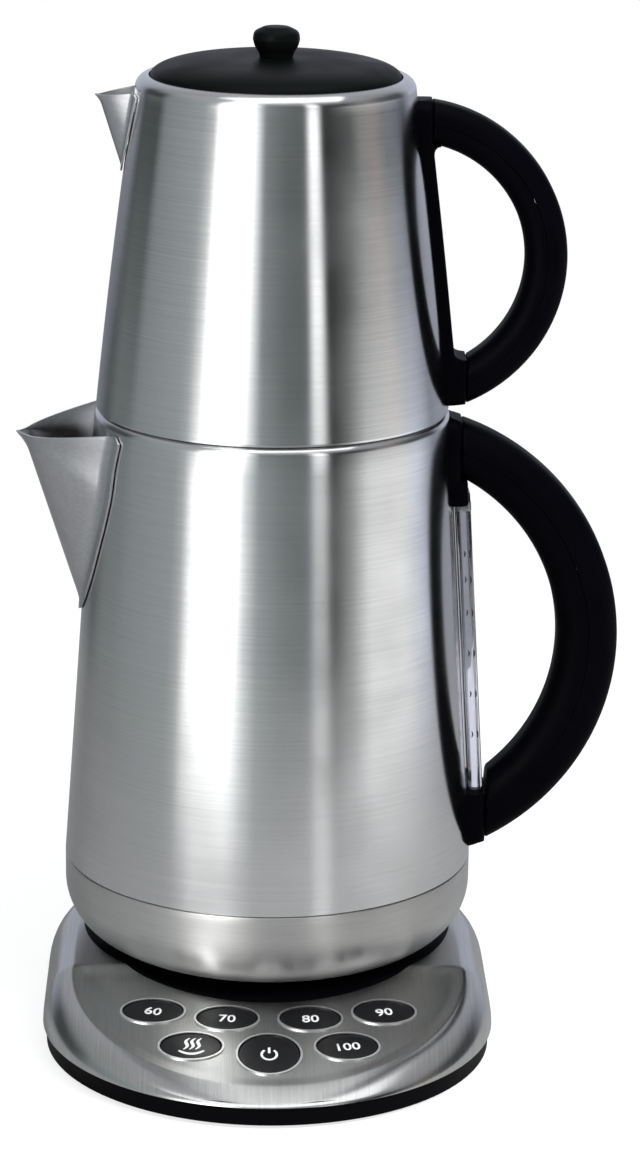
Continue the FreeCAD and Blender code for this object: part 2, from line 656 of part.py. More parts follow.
# Cordless connector: the post on the base and the round socket under the kettle
post_top = seat_z + "post_height"
post = size("post_radius")
groove = post - "ring_depth"
ring_levels = [(seat_z + "ring_low", seat_z + "ring_low" + "ring_height"),
               (seat_z + "ring_high", seat_z + "ring_high" + "ring_height")]
flange_low = seat_low - plastic
pin = size("pin_radius")
post_lap = size("post_flange") + "post_lap"
post_neck = size("post_flange") - gap
post_step_z = seat_z + "post_step"
post_outline = [(pin, flange_low), (post_lap, flange_low), (post_lap, seat_low - "close_gap"),
                (post_neck, seat_low - "close_gap"), (post_neck, post_step_z), (post, post_step_z)]
for low, high in ring_levels:
    post_outline += [(post, low), (groove, low), (groove, high), (post, high)]
post_outline += [(post, post_top), (pin, post_top)]
keep("base_connector", turned("base_connector", post_outline))
hair = size("hair_gap")
close = size("close_gap")
brass = [tube("power_ring", groove + hair, post, low + hair, high - hair) for low, high in ring_levels]
brass.append(cylinder("earth_pin", pin - hair, post_top + "pin_rise" - flange_low, z=flange_low))
keep("connector_contacts", group("connector_contacts", brass))

socket_low = kettle_bottom_z + "slip_gap"
socket_top = socket_low + "socket_height"
bore = size("socket_bore")
socket_flange_low = kettle_bottom_z + "carrier_wall" + size("carrier_wall") + gap
socket_outline = [(0, socket_top - "socket_lip"), (bore, socket_top - "socket_lip")]
for low, high in reversed(ring_levels):
    socket_outline += [(bore, high), (bore + "ring_depth", high), (bore + "ring_depth", low), (bore, low)]
socket_outline += [(bore, socket_low), ("socket_radius", socket_low), ("socket_radius", socket_flange_low),
                   ("socket_flange", socket_flange_low), ("socket_flange", socket_flange_low + "socket_lip"),
                   ("socket_radius", socket_flange_low + "socket_lip"), ("socket_radius", socket_top),
                   (0, socket_top)]
keep("kettle_socket", turned("kettle_socket", socket_outline))
keep("socket_contacts", group("socket_contacts", [
    tube("socket_ring", "contact_bore", bore + "ring_depth" - hair, low + hair, high - hair)
    for low, high in ring_levels]))

# Kettle: lower cup, underside cover and heater
seam_half = size("seam_gap") / 2
cap_round_z = kettle_bottom_z + "cap_round"
flat_radius = size("flat_radius")
cap_inner_round = size("cap_round") - steel
carrier = size("carrier_radius")
keep("kettle_base_cap", turned("kettle_base_cap", [
    (carrier, kettle_bottom_z), (flat_radius, kettle_bottom_z), ("kettle_radius", cap_round_z),
    ("kettle_radius", seam_z - seam_half), (size("kettle_radius") - steel, seam_z - seam_half),
    (size("kettle_radius") - steel, cap_round_z), (flat_radius, kettle_bottom_z + steel),
    (carrier, kettle_bottom_z + steel)],
    {1: ("cap_round", "left"), 5: (cap_inner_round, "right")}))

plate_z = seam_z + "plate_rise"
plate_low = plate_z - "plate_wall"
rim_outer = kettle_wall(size("plate_rise")) - steel - "slip_gap"
keep("heating_plate", turned("heating_plate", [
    (0, plate_low), (rim_outer - "plate_wall", plate_low), (rim_outer - "plate_wall", plate_z - "plate_rim"),
    (rim_outer, plate_z - "plate_rim"), (rim_outer, plate_z), (0, plate_z)]))
seal_outer = kettle_wall(size("plate_rise") + "seal_side") - steel - "slip_gap"
keep("plate_seal", tube("plate_seal", seal_outer - "seal_side", seal_outer, plate_z + hair,
                        plate_z + "seal_side"))
spreader_low = plate_low - "spreader_wall"
keep("heat_spreader", tube("heat_spreader", "spreader_bore", "spreader_radius", spreader_low,
                           plate_low - hair))
element_z = spreader_low - "element_radius" - hair
ring = document.addObject("Part::Torus", "element_ring")
bind(ring, Radius1="element_circle", Radius2="element_radius", Angle3="element_angle")
place(ring, z=element_z)
terminals = []
for end in (size("terminal_turn"), size("element_angle") - "terminal_turn"):
    terminals.append(cylinder("element_terminal", "terminal_radius", "terminal_length",
                              x=size("element_circle") * cosine(end), y=size("element_circle") * sine(end),
                              z=element_z - "terminal_length"))
keep("heating_element", fuse("heating_element", ring, *terminals))
keep("temperature_sensor", cylinder("temperature_sensor", "sensor_radius", "sensor_height", x="sensor_x",
                                    z=spreader_low - "sensor_height" - hair))
keep("safety_thermostat", cylinder("safety_thermostat", "cutout_radius", "cutout_height",
                                   x=-size("cutout_x"), z=spreader_low - "cutout_height" - hair))

carrier_outer = carrier - gap
carrier_shelf = kettle_bottom_z + steel + close
carrier_top = carrier_shelf + "carrier_wall"
socket_hole = size("socket_radius") + gap
carrier_disc = turned("carrier_disc", [
    (socket_hole, kettle_bottom_z), (carrier_outer, kettle_bottom_z), (carrier_outer, carrier_shelf),
    (carrier + "carrier_lap", carrier_shelf), (carrier + "carrier_lap", carrier_top),
    (socket_hole, carrier_top)])
post_turns = [size(angle) for angle in (30.0, 150.0, 270.0)]
carrier_posts = []
carrier_bores = []
carrier_screws = []
post_height = spreader_low - carrier_top
carrier_head_top = kettle_bottom_z + "carrier_head_sink" + "carrier_head_height"
reach = size("carrier_screw_reach")
for turn in post_turns:
    x = size("carrier_post_circle") * cosine(turn)
    y = size("carrier_post_circle") * sine(turn)
    carrier_posts.append(cylinder("carrier_post", "carrier_post_radius", post_height + LAP - close, x=x, y=y,
                                  z=carrier_top - LAP))
    carrier_bores.append(cylinder("carrier_bore", "screw_radius",
                                  carrier_head_top + reach + LAP - kettle_bottom_z, x=x, y=y,
                                  z=kettle_bottom_z))
    carrier_bores.append(cylinder("carrier_sink", size("screw_head_radius") + gap,
                                  carrier_head_top - kettle_bottom_z + LAP, x=x, y=y, z=kettle_bottom_z - LAP))
    shank = cylinder("carrier_shank", size("screw_radius") - "slip_gap", reach + LAP, x=x, y=y,
                     z=carrier_head_top - LAP)
    head = cylinder("carrier_head", "screw_head_radius", size("carrier_head_height"), x=x, y=y,
                    z=kettle_bottom_z + "carrier_head_sink")
    carrier_screws.append(fuse("carrier_screw", shank, head))
keep("socket_carrier", cut("socket_carrier", fuse("carrier_filled", carrier_disc, *carrier_posts),
                           *carrier_bores))
keep("carrier_screws", group("carrier_screws", carrier_screws))

# Spouts: a cone of sheet steel from a narrow tip to a U-shaped line on the pot's wall
U_NECK = (0.6, 0.23)
U_BOTTOM_RADIUS = 0.62
U_SIDE_RADIUS = 5.6


def spout_frame(pot, wall_at, rim_z, pot_height):
    """Named places of a spout in the XZ plane: its root on the wall, its lowest point and its tip."""
    root_z = rim_z - (pot + "_root_drop")
    low_z = root_z - (pot + "_spout_depth")
    base_z = rim_z - pot_height
    half_width = size(pot + "_spout_half_width")
    wall = wall_at(root_z - base_z)
    root_x = root(wall * wall - half_width * half_width)
    low_x = wall_at(low_z - base_z)
    tip_x = wall_at(rim_z - (pot + "_tip_drop") - base_z) + (pot + "_tip_out")
    tip_z = rim_z - (pot + "_tip_drop")
    tilt = slope_angle(low_x - root_x, root_z - low_z)
    reach_x = tip_x - low_x
    reach_z = tip_z - low_z
    return {
        "low_x": low_x, "low_z": low_z, "tilt": tilt, "half_width": half_width,
        "length": (root_z - low_z) / cosine(tilt),
        "tip_out": reach_x * cosine(tilt) + reach_z * sine(tilt),
        "tip_up": reach_z * cosine(tilt) - reach_x * sine(tilt),
    }


def spout_loft(name, frame, widen, inward, shorten, top_up):
    """The cone from the wall to the tip, widened all round by widen and begun inward of the wall."""
    body = new_body(name)
    tip_out = frame["tip_out"] - shorten
    sketches = []
    for distance in (-size(inward), tip_out * "tip_share"):
        scale = (tip_out - distance) / tip_out
        half_width = (frame["half_width"] + widen) * scale
        low = frame["tip_up"] - (frame["tip_up"] + widen) * scale
        top = frame["tip_up"] + (frame["length"] - frame["tip_up"] + top_up) * scale + (size(top_up) * 0.3)
        neck_x = half_width * U_NECK[0]
        neck_y = low + (frame["length"] + widen) * scale * U_NECK[1]
        sketch = new_sketch(body, "YZ_Plane", -distance)
        draw(sketch, [(half_width, top), (-half_width, top), (-neck_x, neck_y), (neck_x, neck_y)],
             {1: (half_width * U_SIDE_RADIUS, "left"), 2: (half_width * U_BOTTOM_RADIUS, "left"),
              3: (half_width * U_SIDE_RADIUS, "left")})
        sketches.append(sketch)
    feature = body.newObject("PartDesign::AdditiveLoft", name + "_loft")
    feature.Profile = sketches[0]
    feature.Sections = sketches[1:]
    feature.Ruled = True
    return place(body, x=-frame["low_x"], z=frame["low_z"], axis=(0, 1, 0), angle=frame["tilt"])


def spout(name, pot, wall_form, wall_at, rim_z, pot_height):
    """A pressed spout: its cone, hollow and open on top, and the flange that lies on the wall."""
    frame = spout_frame(pot, wall_at, rim_z, pot_height)
    hollow = spout_loft(name + "_hollow", frame, -steel * 1.15, 12, steel * 2.5, 6)
    horn = spout_loft(name + "_horn", frame, size(0), 8, size(0), 0)
    skirt = spout_loft(name + "_skirt", frame, size("flange_width"), 8, size(0), 0)
    band = common(name + "_band", skirt, wall_form(name + "_band_form", size("flange_wall") + "joint_gap"))
    joined = fuse(name + "_joined", horn, band)
    return keep(name, cut(name, joined, wall_form(name + "_wall_form", size("joint_gap")), hollow))


def vent(name, pot, rim_z, low_radius):
    """The rounded opening in the wall behind a spout."""
    half_width = size(pot + "_vent_half_width")
    top = rim_z - (pot + "_vent_drop")
    low = top - (pot + "_vent_depth")
    corner = half_width * "vent_corner_share"
    body = new_body(name)
    pad(body, "YZ_Plane", [
        (half_width - corner, top), (-(half_width - corner), top), (-half_width, top - corner),
        (-half_width, low + half_width), (0, low), (half_width, low + half_width), (half_width, top - corner)],
        low_radius, {1: (corner, "left"), 3: (half_width, "left"), 4: (half_width, "left"),
                     6: (corner, "left")}, offset=-size(low_radius) - PAST)
    return body


# Kettle shell
shoulder = size("shoulder_round")
shoulder_rise = size("kettle_height") - shoulder
mouth = size("mouth_radius")


def kettle_form(name, growth):
    """The kettle's cone from seam to top, grown outwards."""
    item = document.addObject("Part::Cone", name)
    bind(item, Radius1=size("kettle_radius") + growth, Radius2=size("kettle_top_radius") + growth,
         Height="kettle_height")
    return place(item, z=seam_z)


shell_low = seam_z + seam_half
kettle_raw = turned("kettle_raw", [
    (kettle_wall(seam_half), shell_low), (kettle_wall(shoulder_rise), kettle_top_z - shoulder),
    (kettle_wall(shoulder_rise) - shoulder, kettle_top_z), (mouth, kettle_top_z),
    (mouth, kettle_top_z - "collar_depth"), (mouth + steel, kettle_top_z - "collar_depth"),
    (mouth + steel, kettle_top_z - steel), (kettle_wall(shoulder_rise) - shoulder, kettle_top_z - steel),
    (kettle_wall(shoulder_rise) - steel, kettle_top_z - shoulder), (kettle_wall(seam_half) - steel, shell_low)],
    {1: (shoulder, "left"), 7: (shoulder - steel, "right")})


def along_x(name, radius, near, far, z):
    """A cylinder along +X from near to far at y = 0."""
    return cylinder(name, radius, far - near, x=near, z=z, axis=(0, 1, 0), angle=90)


def handle_screw(name, wall_x, z):
    """A screw that enters the handle's block from inside the pot, its head on the wall."""
    inner_x = wall_x - steel - "screw_head_gap"
    head = along_x(name + "_head", "handle_screw_head", inner_x - "handle_screw_height", inner_x, z)
    shank = along_x(name + "_shank", size("handle_screw_radius") - "slip_gap", inner_x - LAP,
                    wall_x + "handle_screw_reach", z)
    return fuse(name, head, shank)


def wall_bore(name, radius, wall_x, z):
    return along_x(name, radius, wall_x - PAST, wall_x + "handle_screw_reach" + "slip_gap", z)


kettle_screw_rises = [(size("upper_mount_low") + "upper_mount_high") / 2 + "upper_screw_shift",
                      size("lower_mount_low") + "lower_screw_rise"]
kettle_bores = []
kettle_screws = []
for number, rise in enumerate(kettle_screw_rises):
    kettle_bores.append(wall_bore("kettle_screw_bore", "handle_screw_radius", kettle_wall(rise), seam_z + rise))
    kettle_screws.append(handle_screw("kettle_handle_screw", kettle_wall(rise), seam_z + rise))
keep("kettle_handle_screws", group("kettle_handle_screws", kettle_screws))

duct_rises = [size("gauge_low") + "duct_inset", size("gauge_high") - "duct_inset"]
duct_outer = size("duct_radius") + "duct_wall"
ducts = []
duct_bores = []
for rise in duct_rises:
    wall_x = kettle_wall(rise)
    near = wall_x - steel - "duct_tail"
    far = wall_x + "gauge_stand_off" - "duct_short"
    ducts.append(cut("gauge_duct", along_x("duct_outside", duct_outer, near, far, seam_z + rise),
                     along_x("duct_inside", "duct_radius", near - LAP, far + LAP, seam_z + rise)))
    duct_bores.append(along_x("duct_bore", duct_outer + close, wall_x - PAST, far + "duct_short" + LAP,
                              seam_z + rise))
keep("gauge_seals", group("gauge_seals", ducts))
kettle_vent = vent("kettle_vent", "kettle", kettle_top_z, "kettle_radius")
keep("kettle_shell", cut("kettle_shell", kettle_raw, kettle_vent, *kettle_bores, *duct_bores))
spout("kettle_spout", "kettle", kettle_form, kettle_wall, kettle_top_z, size("kettle_height"))

# Water gauge: a clear flat tube that leans with the wall
cone_tilt = slope_angle(size("kettle_radius") - "kettle_top_radius", size("kettle_height"))


def gauge_bar(name, growth, low, high, hollow):
    """A bar parallel to the wall, in a frame whose Z runs up the wall and whose X points outwards."""
    body = new_body(name)
    near = size("gauge_stand_off") - growth
    far = size("gauge_stand_off") + "gauge_thickness" + growth
    half = size("gauge_width") / 2 + growth
    round_off = size("gauge_thickness") * "gauge_corner_share"
    pad(body, "XY_Plane", [
        (near, -half), (far - round_off, -half), (far, -half + round_off), (far, half - round_off),
        (far - round_off, half), (near, half)], high - low,
        {1: (round_off, "left"), 3: (round_off, "left")}, offset=low)
    if hollow:
        wall = size("gauge_wall")
        corners = [(near + wall, wall - half), (far - wall, wall - half), (far - wall, half - wall),
                   (near + wall, half - wall)]
        pocket(body, "XY_Plane", corners, high - low + LAP * 2, offset=low - LAP, back=True)
    return place(body, x="kettle_radius", z=seam_z, axis=(0, 1, 0), angle=-cone_tilt)


gauge_low = size("gauge_low")
gauge_high = size("gauge_high")
keep("gauge_tube", gauge_bar("gauge_tube", size(0), gauge_low, gauge_high, True))
collar_high = size("upper_mount_low") + LAP
collar_low = collar_high - "collar_height"
collar = cut("gauge_collar", gauge_bar("collar_outside", close + "collar_wall", collar_low, collar_high, False),
             gauge_bar("collar_inside", close, collar_low - LAP, collar_high + LAP, False))
keep("gauge_collar", collar)

# Handle blocks of the kettle
grip_z = seam_z + "kettle_grip_rise"
grip_outer_x = kettle_wall(size("kettle_grip_rise")) - "kettle_grip_back"
grip_inner_x = grip_outer_x - "kettle_grip_shift_x"
grip_inner_z = grip_z + "kettle_grip_shift_z"
upper_seam_x = kettle_wall(size("upper_mount_high")) + "upper_mount_out"
lower_seam_x = kettle_wall(size("lower_mount_low")) + "lower_mount_out"


def circle_z(centre_x, centre_z, radius, x, above):
    """Height of a circle at x, on its upper or lower half."""
    rise = root(radius * radius - (x - centre_x) * (x - centre_x))
    return centre_z + rise if above else centre_z - rise


def mount_block(name, corners, arcs, width, wall_form, extra_tools):
    body = new_body(name + "_block")
    pad(body, "XZ_Plane", corners, width, arcs, middle=True)
    return keep(name, cut(name, body, wall_form(name + "_form", size("slip_gap")), *extra_tools))


grip_width = size("kettle_grip_width")
outer_radius = size("kettle_grip_outer")
inner_radius = size("kettle_grip_inner")
upper_outer_z = circle_z(grip_outer_x, grip_z, outer_radius, upper_seam_x, True)
upper_inner_z = circle_z(grip_inner_x, grip_inner_z, inner_radius, upper_seam_x, True)
lower_outer_z = circle_z(grip_outer_x, grip_z, outer_radius, lower_seam_x, False)
lower_inner_z = circle_z(grip_inner_x, grip_inner_z, inner_radius, lower_seam_x, False)
gauge_tool = gauge_bar("gauge_socket", size("slip_gap"), gauge_low - "slip_gap", gauge_high + "slip_gap", False)
mount_in_x = kettle_wall(size("kettle_height")) - "block_root"
upper_mount_z = seam_z + "upper_mount_low" + LAP * 2
gauge_out = size("gauge_stand_off") + "gauge_thickness" + "mount_lip"
upper_lip_x = kettle_wall(size("upper_mount_low")) + gauge_out
upper_lip_z = circle_z(grip_inner_x, grip_inner_z, inner_radius, upper_lip_x, True) - LAP * 2
mount_block("kettle_mount_upper", [
    (mount_in_x, upper_mount_z), (upper_lip_x, upper_mount_z), (upper_lip_x, upper_lip_z),
    (upper_seam_x, upper_inner_z), (upper_seam_x, upper_outer_z), (mount_in_x, upper_outer_z + LAP * 4)], {},
    "kettle_mount_width", kettle_form, [gauge_tool] + kettle_bores + duct_bores)
lower_gauge_x = kettle_wall(size("gauge_low")) + gauge_out
lower_in_x = kettle_wall(size("lower_mount_high")) - "block_root"
lower_toe_x = kettle_wall(size("lower_mount_low")) + "mount_toe"
lower_top_z = seam_z + "lower_mount_high"
mount_block("kettle_mount_lower", [
    (lower_in_x, seam_z + "lower_mount_low"), (lower_toe_x, seam_z + "lower_mount_low"),
    (lower_seam_x, lower_outer_z), (lower_seam_x, lower_inner_z), (lower_gauge_x, lower_top_z),
    (lower_in_x, lower_top_z)], {}, "kettle_mount_width", kettle_form, [gauge_tool] + kettle_bores + duct_bores)


def grip_half(name, first, second, upper_x, lower_x, width, rounding, outer_half):
    """Half of a ring handle: between two circles, each (centre x, centre z, radius)."""
    gap_x = size("grip_gap")
    upper = upper_x + gap_x
    lower = lower_x + gap_x

    def outline(inner, outer, top_x, low_x):
        corners = [(top_x, circle_z(*outer, top_x, True)), (top_x, circle_z(*inner, top_x, True)),
                   (low_x, circle_z(*inner, low_x, False)), (low_x, circle_z(*outer, low_x, False))]
        return corners, {1: (inner[2], "right"), 3: (outer[2], "left")}

    body = new_body(name)
    corners, arcs = outline(first, second, upper, lower)
    pad(body, "XZ_Plane", corners, width, arcs, middle=True)
    document.recompute()
    round_circle = second if outer_half else first
    side_y = width.value / 2

    def wanted(edge):
        middle = edge.valueAt((edge.FirstParameter + edge.LastParameter) / 2)
        if abs(abs(middle.y) - side_y) > 1e-4 or not isinstance(edge.Curve, Part.Circle):
            return False
        return abs(edge.Curve.Radius - round_circle[2].value) < 1e-4

    round_edges(body, wanted, rounding)
    wall = size("grip_wall")
    if outer_half:
        inner, outer = first, (second[0], second[1], second[2] - wall)
    else:
        inner, outer = (first[0], first[1], first[2] + wall), second
    corners, arcs = outline(inner, outer, upper + wall, lower + wall)
    pocket(body, "XZ_Plane", corners, width - wall * 2, arcs, middle=True)
    return keep(name, body)


outer_circle = (grip_outer_x, grip_z, outer_radius)
inner_circle = (grip_inner_x, grip_inner_z, inner_radius)
split = size("grip_split")
split_radius = inner_radius + (outer_radius - inner_radius) * split
split_circle = ((grip_outer_x + grip_inner_x) / 2, (grip_z + grip_inner_z) / 2, split_radius)
split_inside = (split_circle[0], split_circle[1], split_radius - "slip_gap")
grip_half("kettle_grip_outer", split_circle, outer_circle, upper_seam_x, lower_seam_x, grip_width,
          size("kettle_grip_round"), True)
grip_half("kettle_grip_inner", inner_circle, split_inside, upper_seam_x, lower_seam_x, grip_width,
          size("kettle_grip_round"), False)

# Teapot shell and its stepped pan
bulge = size("teapot_bulge_radius")
rim = size("rim_round")
rim_low_z = teapot_rim_z - rim
lid_bore = size("lid_bore")
ledge_z = teapot_rim_z - "lid_recess"
pot_low_z = teapot_bottom_z + steel + hair
teapot_raw = turned("teapot_raw", [
    ("teapot_radius", pot_low_z), ("teapot_top_radius", rim_low_z),
    (size("teapot_top_radius") - rim, teapot_rim_z), (lid_bore, teapot_rim_z - "rim_land"), (lid_bore, ledge_z),
    (lid_bore - "ledge_width", ledge_z), (lid_bore - "ledge_width", ledge_z - steel),
    (lid_bore + steel, ledge_z - steel), (lid_bore + steel, teapot_rim_z - steel - "rim_land"),
    (size("teapot_top_radius") - steel, rim_low_z), (size("teapot_radius") - steel, pot_low_z)],
    {0: (bulge, "left"), 1: (rim, "left"), 8: (rim - steel, "right"), 9: (bulge, "right")})
pan = size("pan_radius")
pan_z = kettle_top_z - "pan_drop"
keep("teapot_bottom", turned("teapot_bottom", [
    (0, pan_z), (pan, pan_z), (pan, teapot_bottom_z), (size("teapot_radius") - "slip_gap", teapot_bottom_z),
    (size("teapot_radius") - "slip_gap", teapot_bottom_z + steel), (pan - steel, teapot_bottom_z + steel),
    (pan - steel, pan_z + steel), (0, pan_z + steel)]))


def teapot_form(name, growth):
    """The teapot's bulged side, grown outwards."""
    return turned(name, [
        (0, pot_low_z), (size("teapot_radius") + growth, pot_low_z),
        (size("teapot_top_radius") + growth, rim_low_z), (size("teapot_top_radius") + growth, teapot_rim_z),
        (0, teapot_rim_z)], {1: (bulge, "left")})


teapot_screw_rises = [(size("top_block_low") + "top_block_high") / 2,
                      size("foot_block_low") + "foot_screw_rise"]
teapot_bores = []
teapot_screws = []
for rise in teapot_screw_rises:
    wall_x = teapot_wall(rise)
    teapot_bores.append(wall_bore("teapot_screw_bore", "handle_screw_radius", wall_x, kettle_top_z + rise))
    teapot_screws.append(handle_screw("teapot_handle_screw", wall_x, kettle_top_z + rise))
keep("teapot_handle_screws", group("teapot_handle_screws", teapot_screws))
teapot_vent = vent("teapot_vent", "teapot", teapot_rim_z, "teapot_radius")
keep("teapot_shell", cut("teapot_shell", teapot_raw, teapot_vent, *teapot_bores))
spout("teapot_spout", "teapot", teapot_form, teapot_wall, teapot_rim_z, size("teapot_height"))

# Teapot handle: a straight spine with two blocks, and the ring between them
pot_grip_x = teapot_wall(size("teapot_grip_rise")) - "teapot_grip_back"
pot_grip_z = kettle_top_z + "teapot_grip_rise"
pot_outer = (pot_grip_x, pot_grip_z, size("teapot_grip_outer"))
pot_inner = (pot_grip_x, pot_grip_z, size("teapot_grip_inner"))
top_seam_x = teapot_wall(size("top_block_high")) + "top_block_out"
foot_seam_x = teapot_wall(size("foot_block_low")) + "foot_block_out"
spine_body = new_body("spine_bar")
spine_low = kettle_top_z + "foot_block_low"
spine_high = kettle_top_z + "top_block_high"
wall_low_x = teapot_wall(size("foot_block_low"))
wall_foot_x = teapot_wall(size("foot_block_high"))
wall_top_x = teapot_wall(size("top_block_high"))
block_root = size("block_root")
pad(spine_body, "XZ_Plane", [
    (wall_low_x - block_root, spine_low), (wall_low_x + "spine_proud", spine_low),
    (wall_top_x + "spine_proud", spine_high), (wall_top_x - block_root, spine_high)],
    "spine_width", middle=True)
foot_block_z = circle_z(*pot_outer, foot_seam_x, False)
pad(spine_body, "XZ_Plane", [
    (wall_foot_x - block_root, spine_low), (wall_low_x + "mount_toe", spine_low),
    (foot_seam_x, foot_block_z), (foot_seam_x, circle_z(*pot_inner, foot_seam_x, False)),
    (wall_foot_x + "spine_proud", kettle_top_z + "foot_block_high"),
    (wall_foot_x - block_root, kettle_top_z + "foot_block_high")],
    "teapot_mount_width", middle=True)
top_block_z = circle_z(*pot_outer, top_seam_x, True)
pad(spine_body, "XZ_Plane", [
    (wall_top_x - block_root, kettle_top_z + "top_block_low"),
    (top_seam_x, circle_z(*pot_inner, top_seam_x, True)), (top_seam_x, top_block_z),
    (wall_top_x - block_root, top_block_z + LAP * 3)], "teapot_mount_width", middle=True)
keep("teapot_handle_spine", cut("teapot_handle_spine", spine_body, teapot_form("spine_form", size("slip_gap")),
                                *teapot_bores))
pot_split = pot_inner[2] + (pot_outer[2] - pot_inner[2]) * split
grip_half("teapot_grip_outer", (pot_grip_x, pot_grip_z, pot_split), pot_outer, top_seam_x, foot_seam_x,
          size("teapot_grip_width"), size("teapot_grip_round"), True)
grip_half("teapot_grip_inner", pot_inner, (pot_grip_x, pot_grip_z, pot_split - "slip_gap"), top_seam_x,
          foot_seam_x, size("teapot_grip_width"), size("teapot_grip_round"), False)

# Tea strainer: a basket that hangs by its flange on the ledge in the teapot's mouth
basket = size("basket_radius")
thin = size("basket_wall")
flange_z = ledge_z + "slip_gap"
basket_low = flange_z - "basket_depth"
strainer = turned("tea_strainer", [
    (0, basket_low), (basket, basket_low), (basket, flange_z), (lid_bore - gap, flange_z),
    (lid_bore - gap, flange_z + thin), (basket - thin, flange_z + thin), (basket - thin, basket_low + thin),
    (0, basket_low + thin)])
document.recompute()
solid_volume = strainer.Shape.Volume
hole_sketch = new_sketch(strainer, "XZ_Plane")
for step in range(SIZES["basket_hole_rows"]):
    height = basket_low + "basket_hole_low" + size("basket_hole_pitch") * step
    number = hole_sketch.addGeometry(Part.Circle(FreeCAD.Vector(0, height.value, 0), FreeCAD.Vector(0, 0, 1),
                                                 size("basket_hole_radius").value), False)
    hole_sketch.addConstraint(Sketcher.Constraint("PointOnObject", number, 3, -2))
    place_at = hole_sketch.addConstraint(Sketcher.Constraint("DistanceY", number, 3, height.value))
    hole_sketch.setExpression("Constraints[%d]" % place_at, height.formula)
    wide = hole_sketch.addConstraint(Sketcher.Constraint("Radius", number, size("basket_hole_radius").value))
    hole_sketch.setExpression("Constraints[%d]" % wide, size("basket_hole_radius").formula)
hole_row = strainer.newObject("PartDesign::Pocket", "basket_holes")
hole_row.Profile = hole_sketch
hole_row.SideType = "One side"
bind(hole_row, Length=basket + LAP)
document.recompute()
ring_of_holes = strainer.newObject("PartDesign::PolarPattern", "basket_hole_ring")
ring_of_holes.Originals = [hole_row]
ring_of_holes.Axis = (next(item for item in strainer.Origin.OriginFeatures if item.Role == "Z_Axis"), [""])
ring_of_holes.Angle = 360
bind(ring_of_holes, Occurrences="basket_hole_columns")
strainer.Tip = ring_of_holes
document.recompute()
if strainer.Shape.Volume > solid_volume * 0.995:
    raise ValueError("the basket's holes are missing")
keep("tea_strainer", strainer)

# Lid
lid = size("lid_radius")
lid_low = flange_z + thin + "slip_gap"
lid_edge_z = lid_low + "lid_edge"
dome = size("lid_dome")
lid_top = lid_edge_z + dome
dome_radius = (lid * lid + dome * dome) / (dome * 2)
lid_inner = lid - "lid_wall"
inner_top = lid_top - "lid_wall"
inner_edge_z = lid_edge_z - size("lid_wall") * 0.8
inner_dome = inner_top - inner_edge_z
inner_radius_lid = (lid_inner * lid_inner + inner_dome * inner_dome) / (inner_dome * 2)
screw_bore = size("knob_screw_radius")


def dome_z(radius, top, from_axis):
    """Height of a dome's arc at a distance from the axis."""
    return top - radius + root(radius * radius - size(from_axis) * from_axis)


keep("lid_cover", turned("lid_cover", [
    (screw_bore, dome_z(inner_radius_lid, inner_top, screw_bore)), (lid_inner, inner_edge_z),
    (lid_inner, lid_low), (lid, lid_low), (lid, lid_edge_z),
    (screw_bore, dome_z(dome_radius, lid_top, screw_bore))],
    {0: (inner_radius_lid, "right"), 4: (dome_radius, "left")}))
lid_ring_outer = basket - thin - gap
lid_ring_inner = lid_ring_outer - "lid_ring_wall"
ring_top = dome_z(inner_radius_lid, inner_top, lid_ring_outer) - close
keep("lid_locating_ring", tube("lid_locating_ring", lid_ring_inner, lid_ring_outer, ring_top - "lid_ring_depth",
                               ring_top))
knob_low = lid_top + hair
head_z = knob_low + "knob_head_rise"
knob_top = knob_low + "knob_height"
neck_z = knob_low + "knob_neck_rise"
crown_x = size("knob_head") * "knob_crown_share"
crown_drop = size("knob_crown")
crown_z = knob_top - crown_drop
crown_radius = (crown_x * crown_x + crown_drop * crown_drop) / (crown_drop * 2)
screw_end = knob_low + "knob_screw_reach"
keep("lid_knob", turned("lid_knob", [
    (screw_bore, knob_low), ("knob_foot", knob_low), ("knob_foot", knob_low + "knob_foot_height"),
    ("knob_neck", knob_low + "knob_foot_height"), ("knob_neck", neck_z), ("knob_head", head_z),
    (crown_x, crown_z), (0, knob_top), (0, screw_end), (screw_bore, screw_end)],
    {4: ("knob_neck_round", "right"), 5: ("knob_head_round", "left"), 6: (crown_radius, "left")}))
screw_head_top = dome_z(inner_radius_lid, inner_top, "knob_screw_head") - close
keep("knob_screw", fuse("knob_screw",
                        cylinder("knob_screw_top", "knob_screw_head", "knob_screw_head_height",
                                 z=screw_head_top - "knob_screw_head_height"),
                        cylinder("knob_screw_shank", screw_bore - close, screw_end - gap - screw_head_top + LAP,
                                 z=screw_head_top - LAP)))

# Check every feature and sub-part, then write the files
document.recompute()
for item in document.Objects:
    if "Invalid" in item.State or "Error" in item.State:
        raise ValueError("%s (%s): %s" % (item.Name, item.Label, item.State))
os.makedirs("parts", exist_ok=True)
for item in nodes:
    shape = item.Shape
    if shape.isNull() or not shape.isValid() or not shape.Solids:
        raise ValueError(item.Label + ": no valid solid")
for item in nodes:
    item.Shape.exportStep("parts/%s.step" % item.Label)
    low = item.Shape.BoundBox
    print("%-22s %2d solids %10.1f mm3  x %7.1f %7.1f  y %7.1f %7.1f  z %7.1f %7.1f" % (
        item.Label, len(item.Shape.Solids), item.Shape.Volume, low.XMin, low.XMax, low.YMin, low.YMax,
        low.ZMin, low.ZMax))
print(len(nodes), "nodes")
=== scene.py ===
import json
import math

import bmesh
import bpy
import numpy as np
from mathutils import Matrix, Vector


